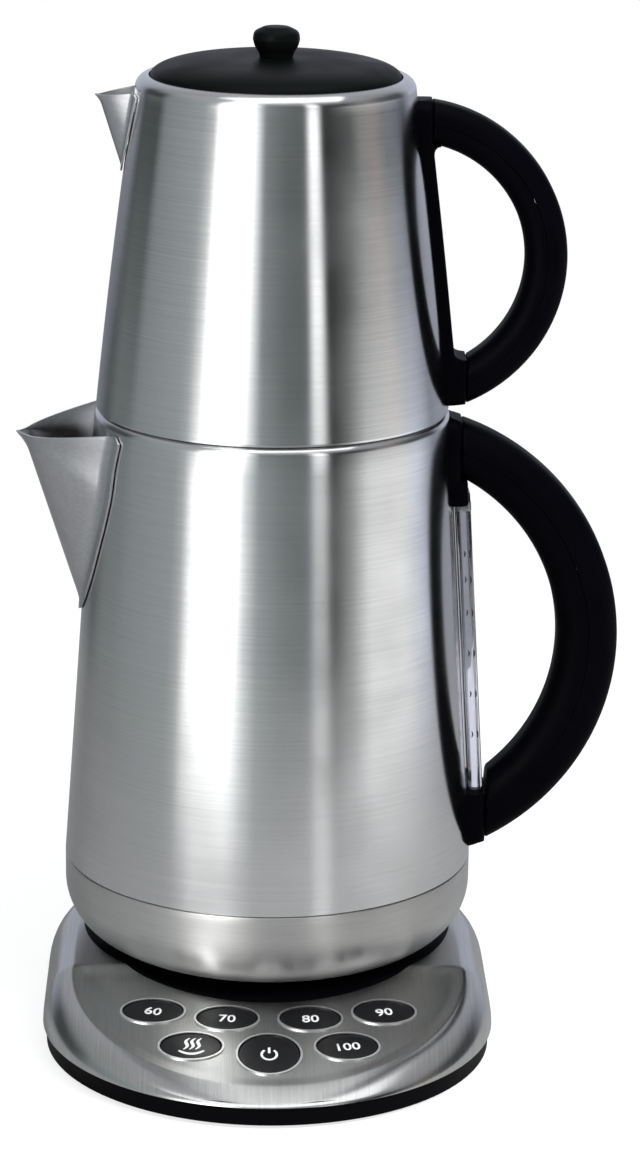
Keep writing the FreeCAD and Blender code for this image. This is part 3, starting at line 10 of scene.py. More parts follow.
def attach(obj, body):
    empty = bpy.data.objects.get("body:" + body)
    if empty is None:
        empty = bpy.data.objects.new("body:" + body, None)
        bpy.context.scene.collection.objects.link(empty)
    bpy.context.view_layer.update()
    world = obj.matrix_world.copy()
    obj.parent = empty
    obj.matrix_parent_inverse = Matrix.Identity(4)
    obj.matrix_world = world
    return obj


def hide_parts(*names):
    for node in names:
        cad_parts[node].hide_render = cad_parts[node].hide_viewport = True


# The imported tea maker: a teapot on a kettle on a cordless power base, in metres, spouts towards -X,
# handles towards +X and the button panel towards -Y.
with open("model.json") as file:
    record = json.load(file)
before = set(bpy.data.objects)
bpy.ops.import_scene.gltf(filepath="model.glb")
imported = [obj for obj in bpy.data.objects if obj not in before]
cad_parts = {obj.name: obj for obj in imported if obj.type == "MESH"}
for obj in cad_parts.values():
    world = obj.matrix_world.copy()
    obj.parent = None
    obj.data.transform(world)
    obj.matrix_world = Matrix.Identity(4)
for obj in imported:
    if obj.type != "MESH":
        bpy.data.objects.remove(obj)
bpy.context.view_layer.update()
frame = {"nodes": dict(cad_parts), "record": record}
MM = 0.001

# Camera: a long lens a little above the lid, turned a touch round the pots' axis, as the product was
# photographed.
CAMERA_LENS, SENSOR_WIDTH = 116.26, 36.0
CAMERA_TURN = math.radians(-1.6)
CAMERA_PITCH = 0.284
CAMERA_ROLL = 0.015
CAMERA_PLACE = Vector((0.01977, -1.43495, 0.59325))
camera_data = bpy.data.cameras.new("camera")
camera_data.sensor_width = SENSOR_WIDTH
camera_data.lens = CAMERA_LENS
camera_data.clip_start = 0.05
camera_data.clip_end = 50.0
camera = bpy.data.objects.new("camera", camera_data)
bpy.context.collection.objects.link(camera)
turn = Matrix.Rotation(CAMERA_TURN, 4, "Z")
aim = Matrix.Rotation(math.pi / 2 - CAMERA_PITCH, 4, "X") @ Matrix.Rotation(CAMERA_ROLL, 4, "Z")
camera.matrix_world = Matrix.Translation(turn @ CAMERA_PLACE) @ turn @ aim
bpy.context.scene.camera = camera
bpy.context.scene.view_settings.view_transform = "Standard"


# Studio: the pots stand on a pale table in a pale room. Long soft windows and darker stretches of wall
# between them give the steel its upright bands; the camera itself sees plain white.
def node(tree, kind, values=None, **settings):
    """Adds a shader node: its plain attributes, then its inputs, each a value or an output to link."""
    made = tree.nodes.new(kind)
    for key, value in settings.items():
        setattr(made, key, value)
    for key, value in (values or {}).items():
        if isinstance(value, bpy.types.NodeSocket):
            tree.links.new(value, made.inputs[key])
        else:
            made.inputs[key].default_value = value
    return made


def arithmetic(tree, operation, *values):
    """A Math node fed by outputs or numbers; returns its output."""
    return node(tree, "ShaderNodeMath", dict(enumerate(values)), operation=operation).outputs[0]


def mixed(tree, factor, first, second):
    """first * (1 - factor) + second * factor, of outputs or plain colours; returns its output."""
    first, second = [(*value, 1.0) if isinstance(value, tuple) else value for value in (first, second)]
    return node(tree, "ShaderNodeMix", {0: factor, 6: first, 7: second}, data_type="RGBA").outputs[2]


def ramp(tree, factor, stops):
    """A colour ramp with (position, colour) stops, straight between them; returns its colour output."""
    made = node(tree, "ShaderNodeValToRGB", {0: factor})
    elements = made.color_ramp.elements
    while len(elements) < len(stops):
        elements.new(0.5)
    for element, (position, colour) in zip(elements, stops):
        element.position = position
        element.color = (*colour, 1.0)
    return made.outputs[0]


# Stretches of wall and window, by bearing in degrees from the panel's side, positive towards the handles:
# brightness and tint. The high ones face the teapot, the low ones the kettle.
PLAIN, COOL, LILAC, WARM = (1.0, 1.0, 1.0), (0.90, 1.0, 1.02), (0.92, 0.96, 1.12), (1.15, 0.95, 0.90)
HIGH_ROOM = [
    (-180, 0.60, LILAC), (-155, 0.55, LILAC), (-142, 0.42, LILAC), (-131, 0.08, COOL), (-107, 0.06, COOL),
    (-99, 0.32, COOL), (-60, 0.48, COOL), (-50, 0.6, PLAIN), (-44, 2.7, PLAIN), (-21, 2.7, PLAIN),
    (-9, 0.28, COOL), (8, 0.15, COOL), (23, 0.12, COOL), (27, 2.0, PLAIN), (32, 2.0, PLAIN),
    (36, 0.02, COOL), (60, 0.02, COOL), (70, 0.20, PLAIN), (82, 0.24, WARM), (94, 0.10, COOL),
    (122, 0.06, LILAC), (140, 0.60, LILAC), (180, 0.60, LILAC)]
LOW_ROOM = [
    (-180, 0.24, LILAC), (-155, 0.20, LILAC), (-138, 0.10, COOL), (-124, 0.26, COOL), (-90, 0.36, COOL),
    (-64, 0.42, COOL), (-57, 0.7, PLAIN), (-51, 2.4, PLAIN), (-26, 2.4, PLAIN), (-17, 0.65, COOL),
    (4, 0.30, COOL), (18, 0.20, COOL), (24, 0.26, LILAC), (30, 0.02, COOL), (40, 0.02, COOL),
    (50, 0.50, PLAIN), (62, 1.5, PLAIN), (88, 1.5, PLAIN), (106, 1.1, LILAC), (124, 0.40, LILAC),
    (180, 0.36, LILAC)]
BLACK, GREY, PALE, WHITE = (0.0, 0.0, 0.0), (0.7, 0.7, 0.7), (0.75, 0.75, 0.75), (1.0, 1.0, 1.0)
CEILING = (0.48, 0.49, 0.51)
TABLE_EDGE = (0.35, 0.36, 0.37)
# Heights run from 0 straight down over 0.5 level to 1 straight up
LOW_ROOM_ENDS, HIGH_ROOM_STARTS = 0.440, 0.474
UPWARD = [(0.0, WHITE), (0.20, GREY), (0.40, BLACK), (0.66, BLACK), (0.80, PALE), (1.0, WHITE)]
world = bpy.data.worlds.new("room")
bpy.context.scene.world = world
world.use_nodes = True
tree = world.node_tree
tree.nodes.clear()
bearing = node(tree, "ShaderNodeTexCoord").outputs["Generated"]
parts = node(tree, "ShaderNodeSeparateXYZ", {0: bearing}).outputs
angle = arithmetic(tree, "ARCTAN2", parts[0], arithmetic(tree, "MULTIPLY", parts[1], -1.0))
turned = arithmetic(tree, "MULTIPLY_ADD", angle, 1 / (2 * math.pi), 0.5)
height = arithmetic(tree, "MULTIPLY_ADD", parts[2], 0.5, 0.5)
low_walls, high_walls = [
    ramp(tree, turned, [(0.5 + at / 360, [level * share for share in tint]) for at, level, tint in stretches])
    for stretches in (LOW_ROOM, HIGH_ROOM)]
rising = ramp(tree, height, [(LOW_ROOM_ENDS, BLACK), (HIGH_ROOM_STARTS, WHITE)])
cover = mixed(tree, arithmetic(tree, "GREATER_THAN", parts[2], 0.0), TABLE_EDGE, CEILING)
studio = mixed(tree, ramp(tree, height, UPWARD), mixed(tree, rising, low_walls, high_walls), cover)
paths = node(tree, "ShaderNodeLightPath").outputs
seen = arithmetic(tree, "MAXIMUM", paths["Is Camera Ray"], paths["Is Transmission Ray"])
background = node(tree, "ShaderNodeBackground", {0: mixed(tree, seen, studio, WHITE), 1: 1.0})
node(tree, "ShaderNodeOutputWorld", {0: background.outputs[0]})

WINDOWS = [
    # name, place, aimed at, width, height, watts, seen in the steel
    ("front_window", (-0.75, -1.35, 0.95), (0, 0, 0.15), 0.45, 1.3, 7.0, True),
    ("top_window", (0.15, -0.35, 1.7), (0, 0, 0.2), 1.6, 1.3, 10.0, True),
    ("table_lamp", (0.55, -0.50, 0.60), (0.36, -0.36, 0), 0.3, 0.3, 10.0, False),
]
for name, place, target, width, tall, watts, mirrored in WINDOWS:
    lamp = bpy.data.lights.new(name, "AREA")
    lamp.shape = "RECTANGLE"
    lamp.size = width
    lamp.size_y = tall
    lamp.energy = watts
    holder = bpy.data.objects.new(name, lamp)
    bpy.context.collection.objects.link(holder)
    holder.location = place
    holder.rotation_euler = (Vector(target) - Vector(place)).to_track_quat("-Z", "Y").to_euler()
    holder.visible_camera = False
    holder.visible_glossy = mirrored


def new_object(name, mesh, material=None):
    """Puts a mesh into the scene as an object at the origin."""
    made = bpy.data.objects.new(name, mesh)
    bpy.context.collection.objects.link(made)
    if material is not None:
        mesh.materials.append(material)
    return made


def new_material(name):
    """An empty node material and its tree."""
    material = bpy.data.materials.new(name)
    material.use_nodes = True
    material.node_tree.nodes.clear()
    return material, material.node_tree


def shaded(material, values):
    """The material with a Principled shader of these inputs."""
    surface = node(material.node_tree, "ShaderNodeBsdfPrincipled", values)
    node(material.node_tree, "ShaderNodeOutputMaterial", {0: surface.outputs[0]})
    return material


TABLE_REACH, TABLE_SIDES, TABLE_Z, TABLE_GREY, TABLE_GLOW = 0.62, 96, -0.0002, 0.34, 0.74
bearings = np.linspace(0, 2 * np.pi, TABLE_SIDES, endpoint=False)
table_rim = np.stack([TABLE_REACH * np.cos(bearings), TABLE_REACH * np.sin(bearings),
                      np.full(TABLE_SIDES, TABLE_Z)], axis=-1)
table_mesh = bpy.data.meshes.new("table_top")
table_mesh.from_pydata(table_rim.tolist(), [], [list(range(TABLE_SIDES))])
material, tree = new_material("pale_table")
surface = node(tree, "ShaderNodeBsdfPrincipled", {
    "Base Color": (TABLE_GREY, TABLE_GREY, TABLE_GREY, 1), "Roughness": 0.9, "Specular IOR Level": 0.1})
paths = node(tree, "ShaderNodeLightPath").outputs
glow = node(tree, "ShaderNodeEmission", {
    0: (1, 1, 1, 1), 1: arithmetic(tree, "MULTIPLY", paths["Is Camera Ray"], TABLE_GLOW)})
total = node(tree, "ShaderNodeAddShader", {0: surface.outputs[0], 1: glow.outputs[0]})
node(tree, "ShaderNodeOutputMaterial", {0: total.outputs[0]})
table = new_object("table_top", table_mesh, material)


# Brushed stainless steel: pressed and spun sheet, dressed with an abrasive belt. The scratches run round
# the pots, so they smear reflections up and down; each piece has its own depth and tint.
def new_group(name, inputs, outputs):
    """A shader node group of number outputs; returns the group and its inputs, ready to link."""
    made = bpy.data.node_groups.new(name, "ShaderNodeTree")
    for label, kind, value in inputs:
        socket = made.interface.new_socket(name=label, in_out="INPUT", socket_type=kind)
        if value is not None:
            socket.default_value = value
    for label in outputs:
        made.interface.new_socket(name=label, in_out="OUTPUT", socket_type="NodeSocketFloat")
    return made, node(made, "NodeGroupInput").outputs


def noise(tree, vector, scale, detail=2.0, roughness=0.5):
    """A noise texture on a vector; returns its value output."""
    return node(tree, "ShaderNodeTexNoise", {
        "Vector": vector, "Scale": scale, "Detail": detail, "Roughness": roughness}).outputs[0]


def stretched(tree, vector, factors):
    """The vector with each axis times its own factor."""
    return node(tree, "ShaderNodeVectorMath", {0: vector, 1: factors}, operation="MULTIPLY").outputs[0]


def ranged(tree, value, low, high):
    """low + (high - low) * (value - 0.3) / 0.4, held between the two: noise keeps mostly to 0.3 to 0.7."""
    return node(tree, "ShaderNodeMapRange", {
        "Value": value, "From Min": 0.3, "From Max": 0.7, "To Min": low, "To Max": high}).outputs[0]


def bumped(tree, height, strength, distance):
    """The normal tilted by a height pattern."""
    return node(tree, "ShaderNodeBump", {
        "Height": height, "Strength": strength, "Distance": distance}).outputs[0]


# Scratches: two sizes of noise drawn out along the brushing, and a slow cloud that varies their depth
scratches, given = new_group(
    "brush_scratches",
    [("Vector", "NodeSocketVector", None), ("Across", "NodeSocketVector", (1.0, 1.0, 1.0)),
     ("Cloud", "NodeSocketFloat", 30.0)], ["Scratches", "Cloud"])
drawn = stretched(scratches, given["Vector"], given["Across"])
fine = noise(scratches, drawn, 1.0, 3.0, 0.6)
coarse = noise(scratches, stretched(scratches, drawn, (0.4, 0.4, 0.31)), 1.0)
both = arithmetic(scratches, "ADD", arithmetic(scratches, "MULTIPLY", fine, 0.75),
                  arithmetic(scratches, "MULTIPLY", coarse, 0.25))
cloud = noise(scratches, given["Vector"], given["Cloud"])
node(scratches, "NodeGroupOutput", {"Scratches": both, "Cloud": cloud})


def steel_material(name, across, dark, light, rough, depth, anisotropy=0.85):
    """Brushed steel whose scratches lie where the coordinates times across change slowly."""
    material, tree = new_material(name)
    place = node(tree, "ShaderNodeTexCoord").outputs["Object"]
    effect = node(tree, "ShaderNodeGroup", {"Vector": place, "Across": across}, node_tree=scratches).outputs
    return shaded(material, {
        "Base Color": mixed(tree, ranged(tree, effect["Scratches"], 0.0, 1.0), dark, light),
        "Metallic": 1.0, "Roughness": ranged(tree, effect["Cloud"], rough * 0.85, rough * 1.2),
        "Anisotropic": anisotropy, "Anisotropic Rotation": 0.25,
        "Normal": bumped(tree, effect["Scratches"], depth, 0.00006),
        "Tangent": node(tree, "ShaderNodeTangent", direction_type="RADIAL", axis="Z").outputs[0]})


pot_steel = steel_material("pot_steel", (16.0, 16.0, 4200.0), (0.58, 0.59, 0.59), (0.70, 0.70, 0.70), 0.18,
                           0.14, 0.93)
cup_steel = steel_material("cup_steel", (50.0, 50.0, 3000.0), (0.56, 0.56, 0.55), (0.66, 0.66, 0.64), 0.34,
                           0.15)


# Base cover: one pressing of brushed sheet. Its rim rolls down all round like a quarter ellipse; in front
# it slopes into a shallow crescent panel with a soft crease, pierced for seven oval buttons.
def grid_mesh(name, points, closed_u=False, closed_v=False):
    """A mesh through a grid of points (rows, columns, 3), closed along either way if asked."""
    rows, columns = points.shape[:2]
    row = np.arange(rows if closed_u else rows - 1)
    column = np.arange(columns if closed_v else columns - 1)
    row, column = np.meshgrid(row, column, indexing="ij")
    next_row = (row + 1) % rows
    next_column = (column + 1) % columns
    faces = np.stack([row * columns + column, row * columns + next_column,
                      next_row * columns + next_column, next_row * columns + column], axis=-1)
    mesh = bpy.data.meshes.new(name)
    mesh.from_pydata(points.reshape(-1, 3), [], faces.reshape(-1, 4).tolist())
    return mesh


def smooth(mesh, limit=35.0):
    """Smooth shading with sharp edges past an angle in degrees."""
    mesh.polygons.foreach_set("use_smooth", np.ones(len(mesh.polygons), dtype=bool))
    mesh.set_sharp_from_angle(angle=math.radians(limit))
    mesh.update()


def finished(name, mesh, material, limit=35.0):
    """Merges doubles, turns faces outwards, smooths, and makes the object."""
    work = bmesh.new()
    work.from_mesh(mesh)
    bmesh.ops.remove_doubles(work, verts=work.verts, dist=1e-6)
    bmesh.ops.dissolve_degenerate(work, edges=work.edges, dist=1e-7)
    bmesh.ops.recalc_face_normals(work, faces=work.faces)
    work.to_mesh(mesh)
    work.free()
    smooth(mesh, limit)
    return new_object(name, mesh, material)


def capped(mesh):
    """Closes a mesh's open ends with flat faces and turns its faces outwards."""
    work = bmesh.new()
    work.from_mesh(mesh)
    bmesh.ops.holes_fill(work, edges=work.edges)
    bmesh.ops.recalc_face_normals(work, faces=work.faces)
    work.to_mesh(mesh)
    work.free()


def closed_ends(name, mesh, material, limit=40.0):
    """Closes open ends, then finishes the piece."""
    capped(mesh)
    return finished(name, mesh, material, limit)


def carved(piece, cutter, limit=35.0):
    """Cuts the cutter's solid out of the piece for good."""
    step = piece.modifiers.new("carve", "BOOLEAN")
    step.operation = "DIFFERENCE"
    step.solver = "EXACT"
    step.object = cutter
    bpy.context.view_layer.update()
    depsgraph = bpy.context.evaluated_depsgraph_get()
    result_mesh = bpy.data.meshes.new_from_object(piece.evaluated_get(depsgraph))
    piece.modifiers.clear()
    piece.data = result_mesh
    smooth(result_mesh, limit)
    bpy.data.objects.remove(cutter)


def eased(value):
    """A smooth step: 0 below 0, 1 above 1, 3v^2 - 2v^3 between."""
    value = np.clip(value, 0, 1)
    return value * value * (3 - 2 * value)


STEEL = 0.8
BASE_R, BASE_REACH, COVER_LOW, COVER_TOP, CROWN = 89.0, 53.2, 9.0, 29.0, 12.5
PANEL_Y, PANEL_Z, PANEL_SLOPE, PANEL_TILT = -72.0, 24.0, 0.18644, math.radians(10.56)
CREASE_AT, CREASE_WIDTH, PANEL_BACK, BACK_WIDTH = 10.4, 6.5, -44.5, 12.0
BORDER_FRONT, BORDER_RISE, RISE_FROM, RISE_WIDTH = 0.3, 0.8, 20.0, 45.0
SEAT_R = 74.5


def panel_height(y):
    """z = panel's z + slope * (y - panel's y), in millimetres."""
    return PANEL_Z + PANEL_SLOPE * (y - PANEL_Y)


def cover_height(x, y):
    """z = low + (top - low) * sqrt(1 - (1 - t)^2), t = inset from the outline over the crown's width; the
    top is the lower of the flat and the slope, and the border stands up to 1 mm over the panel."""
    inset = BASE_R - np.hypot(x, y - np.clip(y, -BASE_REACH, 0))
    t = np.clip(inset / CROWN, 0, 1)
    panel = eased((inset - CREASE_AT) / CREASE_WIDTH) * eased((PANEL_BACK - y) / BACK_WIDTH)
    border = BORDER_FRONT + BORDER_RISE * eased((np.abs(x) - RISE_FROM) / RISE_WIDTH)
    top = np.minimum(COVER_TOP, panel_height(y) + border * (1 - panel))
    return COVER_LOW + (top - COVER_LOW) * np.sqrt(1 - (1 - t) ** 2)


back = np.linspace(0, np.pi, 150, endpoint=False)
down = np.linspace(0, -BASE_REACH, 30, endpoint=False)
front = np.linspace(np.pi, 2 * np.pi, 170, endpoint=False)
centres = np.concatenate([np.zeros_like(back), down, np.full_like(front, -BASE_REACH), down[::-1] + down[1]])
facing = np.concatenate([back, np.full_like(down, np.pi), front, np.full_like(down, 2 * np.pi)])
edge_length = np.cumsum(np.hypot(*np.diff(np.stack([
    BASE_R * np.cos(facing), centres + BASE_R * np.sin(facing)])[:, len(back) - 1:], axis=1)))
LAST_STEP = 1.8
hole_turn = np.concatenate([back, np.pi + np.pi * edge_length / (edge_length[-1] + LAST_STEP)])
insets = np.concatenate([CROWN * (1 - np.cos(np.linspace(0, 1.4, 10))),
                         [11.0, 11.4, 11.8, 12.1, 12.4, 12.7, 13.0, 13.3, 13.7, 14.1]])
rows = [np.stack([(BASE_R - d) * np.cos(facing), centres + (BASE_R - d) * np.sin(facing)], axis=-1)
        for d in insets]
hole = SEAT_R * np.stack([np.cos(hole_turn), np.sin(hole_turn)], axis=-1)
last = rows[-1]
rows += [last * (1 - t) + hole * t for t in np.linspace(0, 1, 46)[1:]]
plan = np.array(rows)
points = np.concatenate([plan, cover_height(plan[..., 0], plan[..., 1])[..., None]], axis=-1) * MM
base_steel = steel_material("base_steel", (3000.0, 40.0, 40.0), (0.44, 0.46, 0.45), (0.58, 0.57, 0.57), 0.21,
                            0.10, 0.0)
base_cover = finished("base_cover_steel", grid_mesh("base_cover_steel", points, closed_v=True), base_steel,
                      60.0)
step = base_cover.modifiers.new("sheet", "SOLIDIFY")
step.thickness = STEEL * MM
step.offset = -1.0
BUTTONS = [
    # body, place along x and y, half width, half depth
    ("button_60", -45.0, -80.8, 11.7, 7.75), ("button_70", -16.2, -85.6, 11.7, 7.75),
    ("button_80", 16.2, -85.6, 11.7, 7.75), ("button_90", 45.0, -80.8, 11.7, 7.75),
    ("button_keep_warm", -30.0, -104.5, 11.7, 8.55), ("button_100", 30.0, -104.5, 11.7, 8.55),
    ("button_power", 0.0, -109.7, 11.7, 12.9),
]


def on_panel(x, y):
    """The frame of a button: its Z points out of the panel."""
    return Matrix.Translation(Vector((x, y, panel_height(y))) * MM) @ Matrix.Rotation(PANEL_TILT, 4, "X")


def oval_rings(half_width, half_depth, profile, around=72):
    """x = (half width - inset) * cos(a), y = (half depth - inset) * sin(a), for each (inset, height) of the
    profile."""
    turn = np.linspace(0, 2 * np.pi, around, endpoint=False)
    inset, z = np.array(profile, float).T[:, :, None]
    return np.stack([(half_width - inset) * np.cos(turn), (half_depth - inset) * np.sin(turn), z + 0 * turn],
                    axis=-1) * MM


BUTTON_GAP = 0.35
cutters = []
for body, x, y, half_width, half_depth in BUTTONS:
    rings = oval_rings(half_width + BUTTON_GAP, half_depth + BUTTON_GAP, [(0, -4), (0, 4)])
    mesh = grid_mesh(body + "_cutter", rings, closed_v=True)
    mesh.transform(on_panel(x, y))
    cutters.append(closed_ends(body + "_cutter", mesh, None))
with bpy.context.temp_override(active_object=cutters[0], selected_editable_objects=cutters):
    bpy.ops.object.join()
bpy.context.view_layer.update()
carved(base_cover, cutters[0], 60.0)
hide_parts("base_top_cover")
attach(base_cover, "power_base")

# Buttons: glossy black moulded ovals, barely crowned, each ringed by a thin bright bezel and printed
# with a pale figure. All the black plastics are injection mouldings with a faint grain in their gloss.
grain, given = new_group(
    "moulded_grain", [("Vector", "NodeSocketVector", None), ("Grain", "NodeSocketFloat", 2500.0)],
    ["Height", "Cloud"])
node(grain, "NodeGroupOutput", {"Height": noise(grain, given["Vector"], given["Grain"], 3.0),
                                "Cloud": noise(grain, given["Vector"], 45.0, 3.0)})


def plastic_material(name, dark, light, rough, grain_scale, grain_depth, sheen_level):
    """A moulded plastic: clouded between two colours, with fine grain in its bump."""
    material, tree = new_material(name)
    place = node(tree, "ShaderNodeTexCoord").outputs["Object"]
    effect = node(tree, "ShaderNodeGroup", {"Vector": place, "Grain": grain_scale}, node_tree=grain).outputs
    return shaded(material, {
        "Base Color": mixed(tree, effect["Cloud"], dark, light), "Specular IOR Level": sheen_level,
        "Roughness": ranged(tree, effect["Cloud"], rough * 0.85, rough * 1.15),
        "Normal": bumped(tree, effect["Height"], grain_depth, 0.00008)})


button_black = plastic_material("button_black", (0.003, 0.003, 0.004), (0.005, 0.005, 0.006), 0.16, 1500.0,
                                0.02, 0.35)
for body, x, y, half_width, half_depth in BUTTONS:
    shares = np.linspace(1, 0.12, 8)
    crown_rings = [(min(half_width, half_depth) * (1 - r) + 0.45, 0.20 - 0.10 * r * r) for r in shares]
    profile = [(0.0, -1.9), (0.0, -0.25)] + [(0.45 * (1 - math.cos(a)), -0.25 + 0.35 * math.sin(a))
                                           for a in np.linspace(0.2, 1.4, 5)] + crown_rings
    mesh = grid_mesh(body + "_cap", oval_rings(half_width, half_depth, profile), closed_v=True)
    mesh.transform(on_panel(x, y))
    cap = closed_ends(body + "_cap", mesh, button_black, 50.0)
    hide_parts(body)
    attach(cap, body)


# Printed figures: pale ink a few hundredths high on the caps; the numbers of the outer buttons follow the
# curve of the row.
def plain_material(name, colour, rough, metallic=0.0, sheen_level=0.5):
    """A material with one even finish."""
    material, tree = new_material(name)
    return shaded(material, {
        "Base Color": (*colour, 1), "Roughness": rough, "Metallic": metallic,
        "Specular IOR Level": sheen_level})


INK = 0.04
pale_ink = plain_material("pale_ink", (0.62, 0.63, 0.63), 0.5, sheen_level=0.2)


def ribbon(centre, widths):
    """centre +- normal * width / 2: a flat strip along (x, y) points, as a two-row grid."""
    centre = np.asarray(centre, float)
    along = np.gradient(centre, axis=0)
    along /= np.linalg.norm(along, axis=1, keepdims=True)
    across = np.stack([-along[:, 1], along[:, 0]], axis=-1) * np.asarray(widths, float)[:, None] / 2
    return np.stack([centre + across, centre - across])


def printed(name, body, strips, place):
    """Joins flat strips into one piece of print on a button's top."""
    first, faces = 0, []
    for strip in strips:
        columns = strip.shape[1]
        faces += [(first + k, first + columns + k, first + columns + k + 1, first + k + 1)
                  for k in range(columns - 1)]
        first += 2 * columns
    flat = np.concatenate([strip.reshape(-1, 2) for strip in strips])
    mesh = bpy.data.meshes.new(name)
    mesh.from_pydata((np.column_stack([flat, np.zeros(len(flat))]) * MM).tolist(), [], faces)
    put_print(name, body, mesh, place)


def put_print(name, body, mesh, place):
    """Lays a flat print on a button, gives it ink thickness and lets it ride."""
    mesh.transform(place)
    print_piece = new_object(name, mesh, pale_ink)
    work = bmesh.new()
    work.from_mesh(mesh)
    bmesh.ops.remove_doubles(work, verts=work.verts, dist=1e-7)
    bmesh.ops.recalc_face_normals(work, faces=work.faces)
    normal = place.to_3x3() @ Vector((0, 0, 1))
    for face in work.faces:
        if face.normal.dot(normal) < 0:
            face.normal_flip()
    work.to_mesh(mesh)
    work.free()
    ink = print_piece.modifiers.new("ink", "SOLIDIFY")
    ink.thickness = INK * MM
    ink.offset = 1.0
    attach(print_piece, body)


NUMBERS = {"button_60": ("60", -0.20), "button_70": ("70", -0.07), "button_80": ("80", 0.07),
           "button_90": ("90", 0.20), "button_100": ("100", 0.16)}
STROKE, NUMBER_SIZE, NUMBER_BOLD = 0.95, 6.7, 0.12
for body, x, y, half_width, half_depth in BUTTONS:
    top = on_panel(x, y) @ Matrix.Translation((0, 0, 0.19 * MM))
    if body in NUMBERS:
        text, lean = NUMBERS[body]
        curve = bpy.data.curves.new(body + "_print", "FONT")
        curve.body = text
        curve.size = NUMBER_SIZE
        curve.offset = NUMBER_BOLD
        curve.align_x = "CENTER"
        curve.space_character = 1.02
        shape = bpy.data.objects.new(body + "_print_curve", curve)
        bpy.context.collection.objects.link(shape)
        bpy.context.view_layer.update()
        mesh = bpy.data.meshes.new_from_object(shape.evaluated_get(bpy.context.evaluated_depsgraph_get()))
        bpy.data.objects.remove(shape)
        mesh.transform(Matrix.Translation((0, -2.3, 0)))
        mesh.transform(Matrix.Diagonal((MM, MM, MM, 1)))
        put_print(body + "_print", body, mesh, top @ Matrix.Rotation(lean, 4, "Z"))
    elif body == "button_power":
        sweep = np.radians(np.linspace(90 + 38, 90 + 322, 40))
        ring_line = np.stack([2.9 * np.cos(sweep), 2.9 * np.sin(sweep) * 1.2 - 0.3], axis=-1)
        stem = np.array([(0, 0.6), (0, 2.4), (0, 4.4)])
        strips = [ribbon(line, np.full(len(line), STROKE)) for line in (ring_line, stem)]
        printed(body + "_print", body, strips, top)
    else:
        strips = []
        for shift in (-2.3, 0.0, 2.3):
            rise = np.linspace(0, 1, 24)
            sway = shift - 0.6 + 2.4 * rise + 0.8 * np.sin(rise * 2 * np.pi)
            strips.append(ribbon(np.stack([sway, -2.3 + 7.6 * rise], axis=-1),
                                 0.4 + STROKE * np.sin(np.pi * rise)))
        swing = np.linspace(-1, 1, 24)
        dish = np.stack([4.9 * swing + 0.2, -5.3 + 2.2 * swing ** 2], axis=-1)
        strips.append(ribbon(dish, 0.45 + STROKE * np.sqrt(1 - 0.96 * swing ** 2)))
        printed(body + "_print", body, strips, top)


# Kettle shell: one drawn and spun cone of 0.8 mm sheet, with a rolled shoulder, a collar turned down
# into the mouth, and an arched opening behind the spout.
def rounded(corners, radii, steps=8, most=0.49):
    """A path through corners, each turned by an arc of its radius, or of what its two sides leave room for."""
    corners = np.asarray(corners, float)
    path = [corners[0]]
    for index in range(1, len(corners) - 1):
        here = corners[index]
        back = corners[index - 1] - here
        onward = corners[index + 1] - here
        back_length, onward_length = np.linalg.norm(back), np.linalg.norm(onward)
        back, onward = back / back_length, onward / onward_length
        bend = math.acos(float(np.clip(np.dot(back, onward), -1, 1)))
        radius = radii[index]
        if radius <= 0 or bend > math.pi - 1e-3:
            path.append(here)
            continue
        reach = min(radius / math.tan(bend / 2), most * back_length, most * onward_length)
        radius = reach * math.tan(bend / 2)
        middle = (back + onward) / np.linalg.norm(back + onward)
        centre = here + middle * radius / math.sin(bend / 2)
        start, end = here + back * reach - centre, here + onward * reach - centre
        spread = math.acos(float(np.clip(np.dot(start, end) / radius ** 2, -1, 1)))
        share = np.linspace(0, 1, steps)[:, None]
        path.extend(centre + (start * np.sin((1 - share) * spread) + end * np.sin(share * spread))
                    / math.sin(spread))
    path.append(corners[-1])
    return np.array(path)


def divided(path, longest):
    """The path with its long runs divided so that no step is longer than longest."""
    pieces = [path[:1]]
    for start, end in zip(path[:-1], path[1:]):
        count = max(1, int(math.ceil(np.linalg.norm(end - start) / longest)))
        share = np.linspace(0, 1, count + 1)[1:, None]
        pieces.append(start + (end - start) * share)
    return np.concatenate(pieces)


def spun(name, path, material, around=180, closed=False):
    """x = r * cos(a), y = r * sin(a) for each (r, z) of a path in millimetres; poles are merged."""
    path = np.asarray(path, float) * MM
    angles = np.linspace(0, 2 * np.pi, around, endpoint=False)
    points = np.stack([path[:, :1] * np.cos(angles), path[:, :1] * np.sin(angles),
                       np.repeat(path[:, 1:], around, axis=1)], axis=-1)
    mesh = grid_mesh(name, points, closed_u=closed, closed_v=True)
    return finished(name, mesh, material)


def arch_block(name, half_width, low, top, corner, near, far):
    """A block along X whose outline is an arch hung upside down: round below, small corners above."""
    outline = rounded([(0, low), (half_width, low), (half_width, top), (-half_width, top), (-half_width, low),
                       (0, low)], [0, half_width * 0.98, corner, corner, half_width * 0.98, 0], 12)[:-1]
    mesh = grid_mesh(name, np.array([[[x, y, z] for y, z in outline] for x in (near, far)]) * MM,
                     closed_v=True)
    capped(mesh)
    return new_object(name, mesh)


SEAM_Z, KETTLE_TOP, KETTLE_R, KETTLE_TOP_R = 62.0, 245.8, 82.0, 69.8


def kettle_wall(z):
    """r = foot's r - (foot's r - top's r) * (z - seam) / (top - seam), in millimetres."""
    return KETTLE_R - (KETTLE_R - KETTLE_TOP_R) * (np.asarray(z, float) - SEAM_Z) / (KETTLE_TOP - SEAM_Z)


